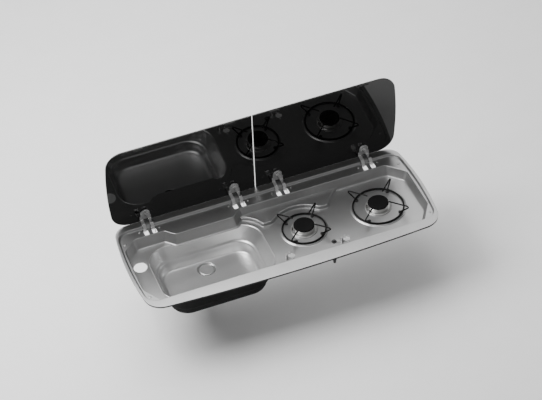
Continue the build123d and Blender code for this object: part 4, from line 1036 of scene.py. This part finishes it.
class OBJECT_OT_hob_burners(bpy.types.Operator):
    """Build both burners with their slotted crowns and caps"""

    bl_idname = "object.hob_burners"
    bl_label = "Burners"

    # How much of the pitch a tooth takes, and the rounding of its corners
    tooth_share = 0.72
    tooth_round = 0.3

    def execute(self, context):
        slots = context.scene.hob_burner.slots
        for (x, y), side in zip(BURNERS, SIDES):
            dish = turned(f"burner_dish_{side}", BURNER_DISH_PROFILE, (x, y, PAD_Z), BURNER_SIDES)
            finished(dish, cast_aluminium(), "tray", (f"burner_base_{side}",))
            places = [((x, y, 0.0), 2 * math.pi * k / slots) for k in range(slots)]
            teeth = repeated(f"crown_teeth_{side}", self.tooth(slots), places, cast_aluminium())
            finished(teeth, cast_aluminium(), "tray")
            cap = turned(f"burner_cap_turned_{side}", CAP_PROFILE, (x, y, PAD_Z + CAP_HEIGHT), BURNER_SIDES)
            finished(cap, enamel_cap(), f"cap_{side}", (f"burner_cap_{side}",))
            dressed(cast_aluminium(), f"burner_cup_{side}")
        dressed(glazed_ceramic(), "spark_electrodes")
        dressed(plain_steel(), "thermocouples")
        dressed(machined_brass(), "burner_jets")
        return {"FINISHED"}

    def tooth(self, slots):
        """One tooth between two flame slots, which sinks a little into the dish."""
        half = math.pi / slots * self.tooth_share
        inner, outer = CROWN_RADII
        corners = [(inner, -half), (outer, -half), (outer, half), (inner, half)]
        outline = [(r * math.cos(turn), r * math.sin(turn)) for r, turn in corners]
        outline = rounded_loop(outline, [self.tooth_round] * 4, 2)
        skin = Skin()
        low = skin.loop(outline, PAD_Z + CROWN_HEIGHT - REST_GAP)
        high = skin.loop(outline, PAD_Z + CAP_HEIGHT - REST_GAP)
        skin.strip(low, high)
        skin.faces += [tuple(high), tuple(low[::-1])]
        return tidied(skin.piece("crown_tooth"))


class OBJECT_OT_hob_trivets(bpy.types.Operator):
    """Build both wire trivets"""

    bl_idname = "object.hob_trivets"
    bl_label = "Trivets"

    # Each prong runs from near the burner out to its tip, bends and slopes down to the ring.
    ring_radii = (62.5, 73.6)
    tip_reaches = (90.0, 100.0)
    inner_reach = 34.0
    rise = 28.0
    bend_radius = 4.0
    first_turn = math.radians(45.0)
    # The ring stands on feet of this height, and the wires are pressed into each other at the welds.
    foot_height = 0.8
    weld_share = 0.93

    def execute(self, context):
        look = context.scene.hob_trivet
        wire, thin = look.ring_wire / MM, look.prong_wire / MM
        for (x, y), side, ring, tip in zip(BURNERS, SIDES, self.ring_radii, self.tip_reaches):
            foot = self.foot_reach(ring, tip, (wire + thin) / 2 * self.weld_share)
            values = {
                "Ring Radius": ring * MM,
                "Ring Wire": wire / 2 * MM,
                "Prong Wire": thin / 2 * MM,
                "Bend Radius": self.bend_radius * MM,
                "Prongs": look.prongs,
                "First Turn": self.first_turn,
                "Centre": (x * MM, y * MM, (PAD_Z + self.foot_height + wire / 2) * MM),
                "Material": enamel_wire(),
            }
            trivet = grown(f"wire_trivet_{side}", self.prong(side, tip, foot), wire_tree(), values)
            finished(trivet, enamel_wire(), f"trivet_{side}", (f"trivet_{side}",))
            dressed(black_rubber(), f"trivet_feet_{side}")
        return {"FINISHED"}

    def foot_reach(self, ring, tip, gap):
        """How far out a sloping prong ends at the ring's height, so that it passes the ring by the gap."""
        a = self.rise**2 - gap**2
        b = 2 * (gap**2 * tip - ring * self.rise**2)
        c = (ring * self.rise) ** 2 - gap**2 * (tip**2 + self.rise**2)
        return (-b - math.sqrt(b * b - 4 * a * c)) / (2 * a)

    def prong(self, side, tip, foot):
        """The line of one prong, along X."""
        curve = bpy.data.curves.new(f"prong_{side}", "CURVE")
        curve.dimensions = "3D"
        line = curve.splines.new("POLY")
        line.points.add(2)
        for point, (x, z) in zip(line.points, ((self.inner_reach, self.rise), (tip, self.rise), (foot, 0.0))):
            point.co = (x * MM, 0.0, z * MM, 1.0)
        return linked(f"prong_{side}", curve)


# Lid

LID_OPENING = math.radians(85.6)
LEAVES = {"half": 440.8, "front": -147.0, "rear": 143.0, "bows": (9.8, 0.0, 0.0), "radii": (53.0, 53.0)}
LEAF_LOW, LEAF_HIGH = 2.5, 6.5
# Half of the gap between the leaves. Points of the whole outline that are nearer to the middle than LEAF_END
# are left out, and those within LEAF_NEAR of the front or rear lie on that side.
LEAF_SPLIT = 1.2
LEAF_END = 4.0
LEAF_NEAR = 0.1
# The edge's rounding has one point between its ends, at this share of its radius from both faces.
EDGE_CUT_SHARE = 0.3
# A sharp corner of an inset outline moves no further than at this cosine of half its turn.
LEAST_MITRE = 0.5


class OBJECT_OT_hob_lid(bpy.types.Operator):
    """Build the two leaves of the glass lid"""

    bl_idname = "object.hob_lid"
    bl_label = "Glass Lid"

    def execute(self, context):
        joint = next(j for j in frame["joints"] if j["name"] == "lid_hinge_left")
        pivot = Matrix.Translation(Vector(joint["pos_m"]))
        turn = pivot @ Matrix.Rotation(-LID_OPENING, 4, "X") @ pivot.inverted()
        radius = context.scene.hob_lid.edge_round / MM
        cut = radius * EDGE_CUT_SHARE
        rows = [(radius, LEAF_LOW), (cut, LEAF_LOW + cut), (0.0, LEAF_LOW + radius)]
        rows += [(0.0, LEAF_HIGH - radius), (cut, LEAF_HIGH - cut), (radius, LEAF_HIGH)]
        for sign, side in zip((-1, 1), SIDES):
            outline = self.outline(sign)
            skin = Skin()
            low, high = skin.stack(rows, lambda amount: self.inset(outline, amount))
            skin.faces += [tuple(high), tuple(low[::-1])]
            leaf = tidied(skin.piece(f"glass_leaf_{side}"))
            leaf.data.transform(turn)
            evened(leaf)
            finished(leaf, dark_glass(), f"lid_{side}", (f"lid_glass_{side}",))
            dressed(black_rubber(), f"lid_buffers_{side}", f"glass_pads_{side}")
        return {"FINISHED"}

    def outline(self, sign):
        """The closed leaf on one side of the split, seen from above."""
        front_y, rear_y = LEAVES["front"], LEAVES["rear"]
        whole = bowed_loop(**LEAVES, grows=(0.0, 0.0, 0.0))
        half = [(x, y) for x, y in whole if x * sign > LEAF_END]
        front = min(half, key=lambda p: (p[1] > front_y + LEAF_NEAR, abs(p[0])))
        rear = min(half, key=lambda p: (p[1] < rear_y - LEAF_NEAR, abs(p[0])))
        at = half.index(rear if sign > 0 else front)
        inner = [(sign * LEAF_SPLIT, rear_y), (sign * LEAF_SPLIT, front_y)]
        return half[at + 1 :] + half[: at + 1] + inner[::sign]

    def inset(self, outline, amount):
        """An outline drawn in by an amount."""
        points = []
        for i, (x, y) in enumerate(outline):
            (ax, ay), (bx, by) = outline[i - 1], outline[(i + 1) % len(outline)]
            back = Vector((x - ax, y - ay)).normalized()
            on = Vector((bx - x, by - y)).normalized()
            n1, n2 = Vector((-back.y, back.x)), Vector((-on.y, on.x))
            middle = (n1 + n2).normalized()
            reach = amount / max(middle.dot(n1), LEAST_MITRE)
            points.append((x + middle.x * reach, y + middle.y * reach))
        return points


class OBJECT_OT_hob_hinges(bpy.types.Operator):
    """Finish the lid hinges"""

    bl_idname = "object.hob_hinges"
    bl_label = "Lid Hinges"

    def execute(self, context):
        for side in SIDES:
            for end in ("outer", "inner"):
                for part in ("hinge_arm", "hinge_bracket", "backplate"):
                    dressed(bright_steel(), f"{part}_{end}_{side}")
            dressed(bright_steel(), f"clamp_screws_{side}")
        dressed(plain_steel(), "hinge_pins")
        return {"FINISHED"}


class OBJECT_OT_hob_screws(bpy.types.Operator):
    """Build the screws with their cross recesses"""

    bl_idname = "object.hob_screws"
    bl_label = "Screws"

    fixing_size = {"head": 4.2, "height": 1.8, "shank": 2.0, "length": 32.0}
    small_size = {"head": 3.4, "height": 1.6, "shank": 1.9, "length": 9.0}
    fixing_reach = (421.5, 113.5)
    hinge_screw_shift, hinge_screw_y = 30.0, 146.0
    valve_screw_shift = 13.5
    # How far the recess of each kind is turned, in radians
    fixing_turn, hinge_turn, valve_turn = 0.4, 0.3, 0.5
    # Shares of a head's radius and height, up its dome
    dome_shares = ((1.0, 0.35), (0.93, 0.7), (0.78, 0.92), (0.62, 1.0))
    # Shares of a head's radius that the recess takes at its mouth, and how much of that is left at its foot
    arm_share, width_share, recess_foot_share = 0.55, 0.13, 0.8
    # The shank's tip tapers over this length to this share of its radius.
    tip_length, tip_share = 1.0, 0.25
    sides = 32

    def execute(self, context):
        both = (-1, 1)
        reach_x, reach_y = self.fixing_reach
        places = [((a * reach_x, b * reach_y, SHELF_Z), self.fixing_turn * a) for a in both for b in both]
        self.row("fixing_screws", places, **self.fixing_size)
        y, shift = self.hinge_screw_y, self.hinge_screw_shift
        places = [((x + s * shift, y, SHELF_Z), self.hinge_turn * s) for x in HINGES for s in both]
        self.row("hinge_screws", places, **self.small_size)
        shift = self.valve_screw_shift
        places = [((x, y + s * shift, FLOOR_Z), self.valve_turn * s) for x, y in PEEPS for s in both]
        self.row("valve_screws", places, **self.small_size)
        return {"FINISHED"}

    def row(self, node, places, head, height, shank, length):
        """All screws of one CAD node."""
        skin = Skin()
        dome = [(head, REST_GAP)] + [(head * r, height * z) for r, z in self.dome_shares]
        low, high = skin.stack(dome, self.circle)
        mouth = skin.loop(self.cross(head), height)
        skin.flat(high, [mouth])
        depth = bpy.context.scene.hob_hardware.recess_depth / MM
        foot = skin.loop(self.cross(head * self.recess_foot_share), height - depth)
        skin.strip(mouth, foot)
        skin.faces.append(tuple(foot))
        shaft = [(shank * self.tip_share, -length), (shank, self.tip_length - length), (shank, REST_GAP)]
        point, neck = skin.stack(shaft, self.circle)
        skin.strip(neck, low)
        skin.faces.append(tuple(point[::-1]))
        template = tidied(skin.piece(f"{node}_template"))
        screws = repeated(f"{node}_turned", template, places, plain_steel())
        finished(screws, plain_steel(), "tray", (node,))

    def circle(self, radius):
        return circle_loop(0.0, 0.0, radius, self.sides)

    def cross(self, head):
        """The outline of the cross recess."""
        arm, width = head * self.arm_share, head * self.width_share
        points = []
        for k in range(4):
            cos, sin = math.cos(math.pi / 2 * k), math.sin(math.pi / 2 * k)
            for r, w in ((width, -width), (arm, -width), (arm, width)):
                points.append((r * cos - w * sin, r * sin + w * cos))
        return points


class OBJECT_OT_hob_gas(bpy.types.Operator):
    """Finish the gas valves, the pipes, the igniter and the seal under the rim"""

    bl_idname = "object.hob_gas"
    bl_label = "Gas Side"

    def execute(self, context):
        for side in SIDES:
            dressed(cast_aluminium(), f"valve_body_{side}", f"burner_pipe_{side}")
            dressed(machined_brass(), f"valve_cone_{side}")
            dressed(plain_steel(), f"valve_spindle_{side}")
        dressed(plain_steel(), "gas_rail")
        # The gas inlet and its nut get painted shade: a near-black steel instead of their own brass and steel
        dressed(shade_painted_steel(), "gas_inlet", "inlet_nut")
        dressed(black_plastic(), "igniter_body", "igniter_button")
        dressed(black_rubber(), "rim_seal")
        return {"FINISHED"}


# Stage

FLOOR_HALF = 9000.0
GROUND_Z = -235.0


class OBJECT_OT_hob_stage(bpy.types.Operator):
    """Set up the plain floor, the soft lights and the camera"""

    bl_idname = "object.hob_stage"
    bl_label = "Stage"

    back_share = 0.5
    # The camera's place in metres, its angles in degrees, the width of its sensor and what it can see
    camera_place = (-1.3075, -4.0885, 4.0426)
    azimuth, elevation, roll = -17.56, 42.53, -4.50
    sensor_width = 36.0
    clip_start, clip_end = 0.05, 60.0

    def execute(self, context):
        look = context.scene.hob_stage
        skin = Skin()
        corners = skin.loop(rectangle(-FLOOR_HALF, FLOOR_HALF, -FLOOR_HALF, FLOOR_HALF), GROUND_Z)
        skin.faces = [tuple(corners)]
        floor = skin.piece("floor")
        floor.data.materials.append(floor_paper())
        world = bpy.data.worlds.new("studio")
        context.scene.world = world
        world.use_nodes = True
        backdrop = world.node_tree.nodes["Background"]
        backdrop.inputs["Color"].default_value = (*alike(1.0), 1.0)
        backdrop.inputs["Strength"].default_value = look.surround
        back_power = look.key_power * self.back_share
        self.light("key", look.key_power, size=1.4, place=(-1.5, 0.3, 2.0), target=(0.0, 0.1, -0.1))
        self.light("back", back_power, size=2.4, place=(0.9, 2.6, 2.4), target=(0.1, 0.6, -0.2))
        self.light("top", look.top_power, size=2.4, place=(-0.5, 0.9, 2.2), target=(-0.1, 0.0, -0.1))
        self.camera(look.lens)
        return {"FINISHED"}

    def light(self, name, power, size, place, target):
        """A square area light, with its size and places in metres."""
        data = bpy.data.lights.new(name, "AREA")
        data.energy, data.size = power, size
        obj = linked(name, data)
        obj.location = place
        obj.rotation_euler = (Vector(target) - Vector(place)).to_track_quat("-Z", "Y").to_euler()

    def camera(self, lens):
        data = bpy.data.cameras.new("camera")
        data.sensor_width, data.lens = self.sensor_width, lens
        data.clip_start, data.clip_end = self.clip_start, self.clip_end
        azimuth, elevation, roll = (math.radians(a) for a in (self.azimuth, self.elevation, self.roll))
        level = math.cos(elevation)
        ahead = Vector((-math.sin(azimuth) * level, math.cos(azimuth) * level, -math.sin(elevation)))
        right = ahead.cross(Vector((0.0, 0.0, 1.0))).normalized()
        up = right.cross(ahead)
        tilted_right = right * math.cos(roll) + up * math.sin(roll)
        tilted_up = up * math.cos(roll) - right * math.sin(roll)
        axes = Matrix((tilted_right, tilted_up, -ahead)).transposed().to_4x4()
        obj = linked("camera", data)
        obj.matrix_world = Matrix.Translation(self.camera_place) @ axes
        bpy.context.scene.camera = obj


class VIEW3D_PT_hob(bpy.types.Panel):
    """The panel that lists the pieces"""

    bl_label = "Hob and Sink"
    bl_space_type = "VIEW_3D"
    bl_region_type = "UI"
    bl_category = "Hob and Sink"

    def draw(self, context):
        for group, _, operators in GROUPS:
            box = self.layout.box()
            look = getattr(context.scene, group)
            for name in look.bl_rna.properties.keys():
                if name not in ("rna_type", "name"):
                    box.prop(look, name)
            for operator in operators:
                box.operator(operator.bl_idname)


# The settings of each group, with their name in the scene and the operators that they belong to
GROUPS = (
    ("hob_tray", TrayLook, (OBJECT_OT_hob_tray,)),
    ("hob_bowl", BowlLook, (OBJECT_OT_hob_bowl, OBJECT_OT_hob_waste)),
    ("hob_burner", BurnerLook, (OBJECT_OT_hob_burners, OBJECT_OT_hob_gas)),
    ("hob_trivet", TrivetLook, (OBJECT_OT_hob_trivets,)),
    ("hob_lid", LidLook, (OBJECT_OT_hob_lid, OBJECT_OT_hob_hinges)),
    ("hob_hardware", HardwareLook, (OBJECT_OT_hob_screws,)),
    ("hob_stage", StageLook, (OBJECT_OT_hob_stage,)),
)
OPERATORS = [operator for _, _, group in GROUPS for operator in group]


def register():
    for name, look, _ in GROUPS:
        bpy.utils.register_class(look)
        setattr(bpy.types.Scene, name, PointerProperty(type=look))
    for operator in OPERATORS:
        bpy.utils.register_class(operator)
    bpy.utils.register_class(VIEW3D_PT_hob)


def unregister():
    bpy.utils.unregister_class(VIEW3D_PT_hob)
    for operator in reversed(OPERATORS):
        bpy.utils.unregister_class(operator)
    for name, look, _ in reversed(GROUPS):
        delattr(bpy.types.Scene, name)
        bpy.utils.unregister_class(look)


def main():
    register()
    for operator in OPERATORS:
        area, name = operator.bl_idname.split(".")
        getattr(getattr(bpy.ops, area), name)()


if __name__ == "__main__":
    main()
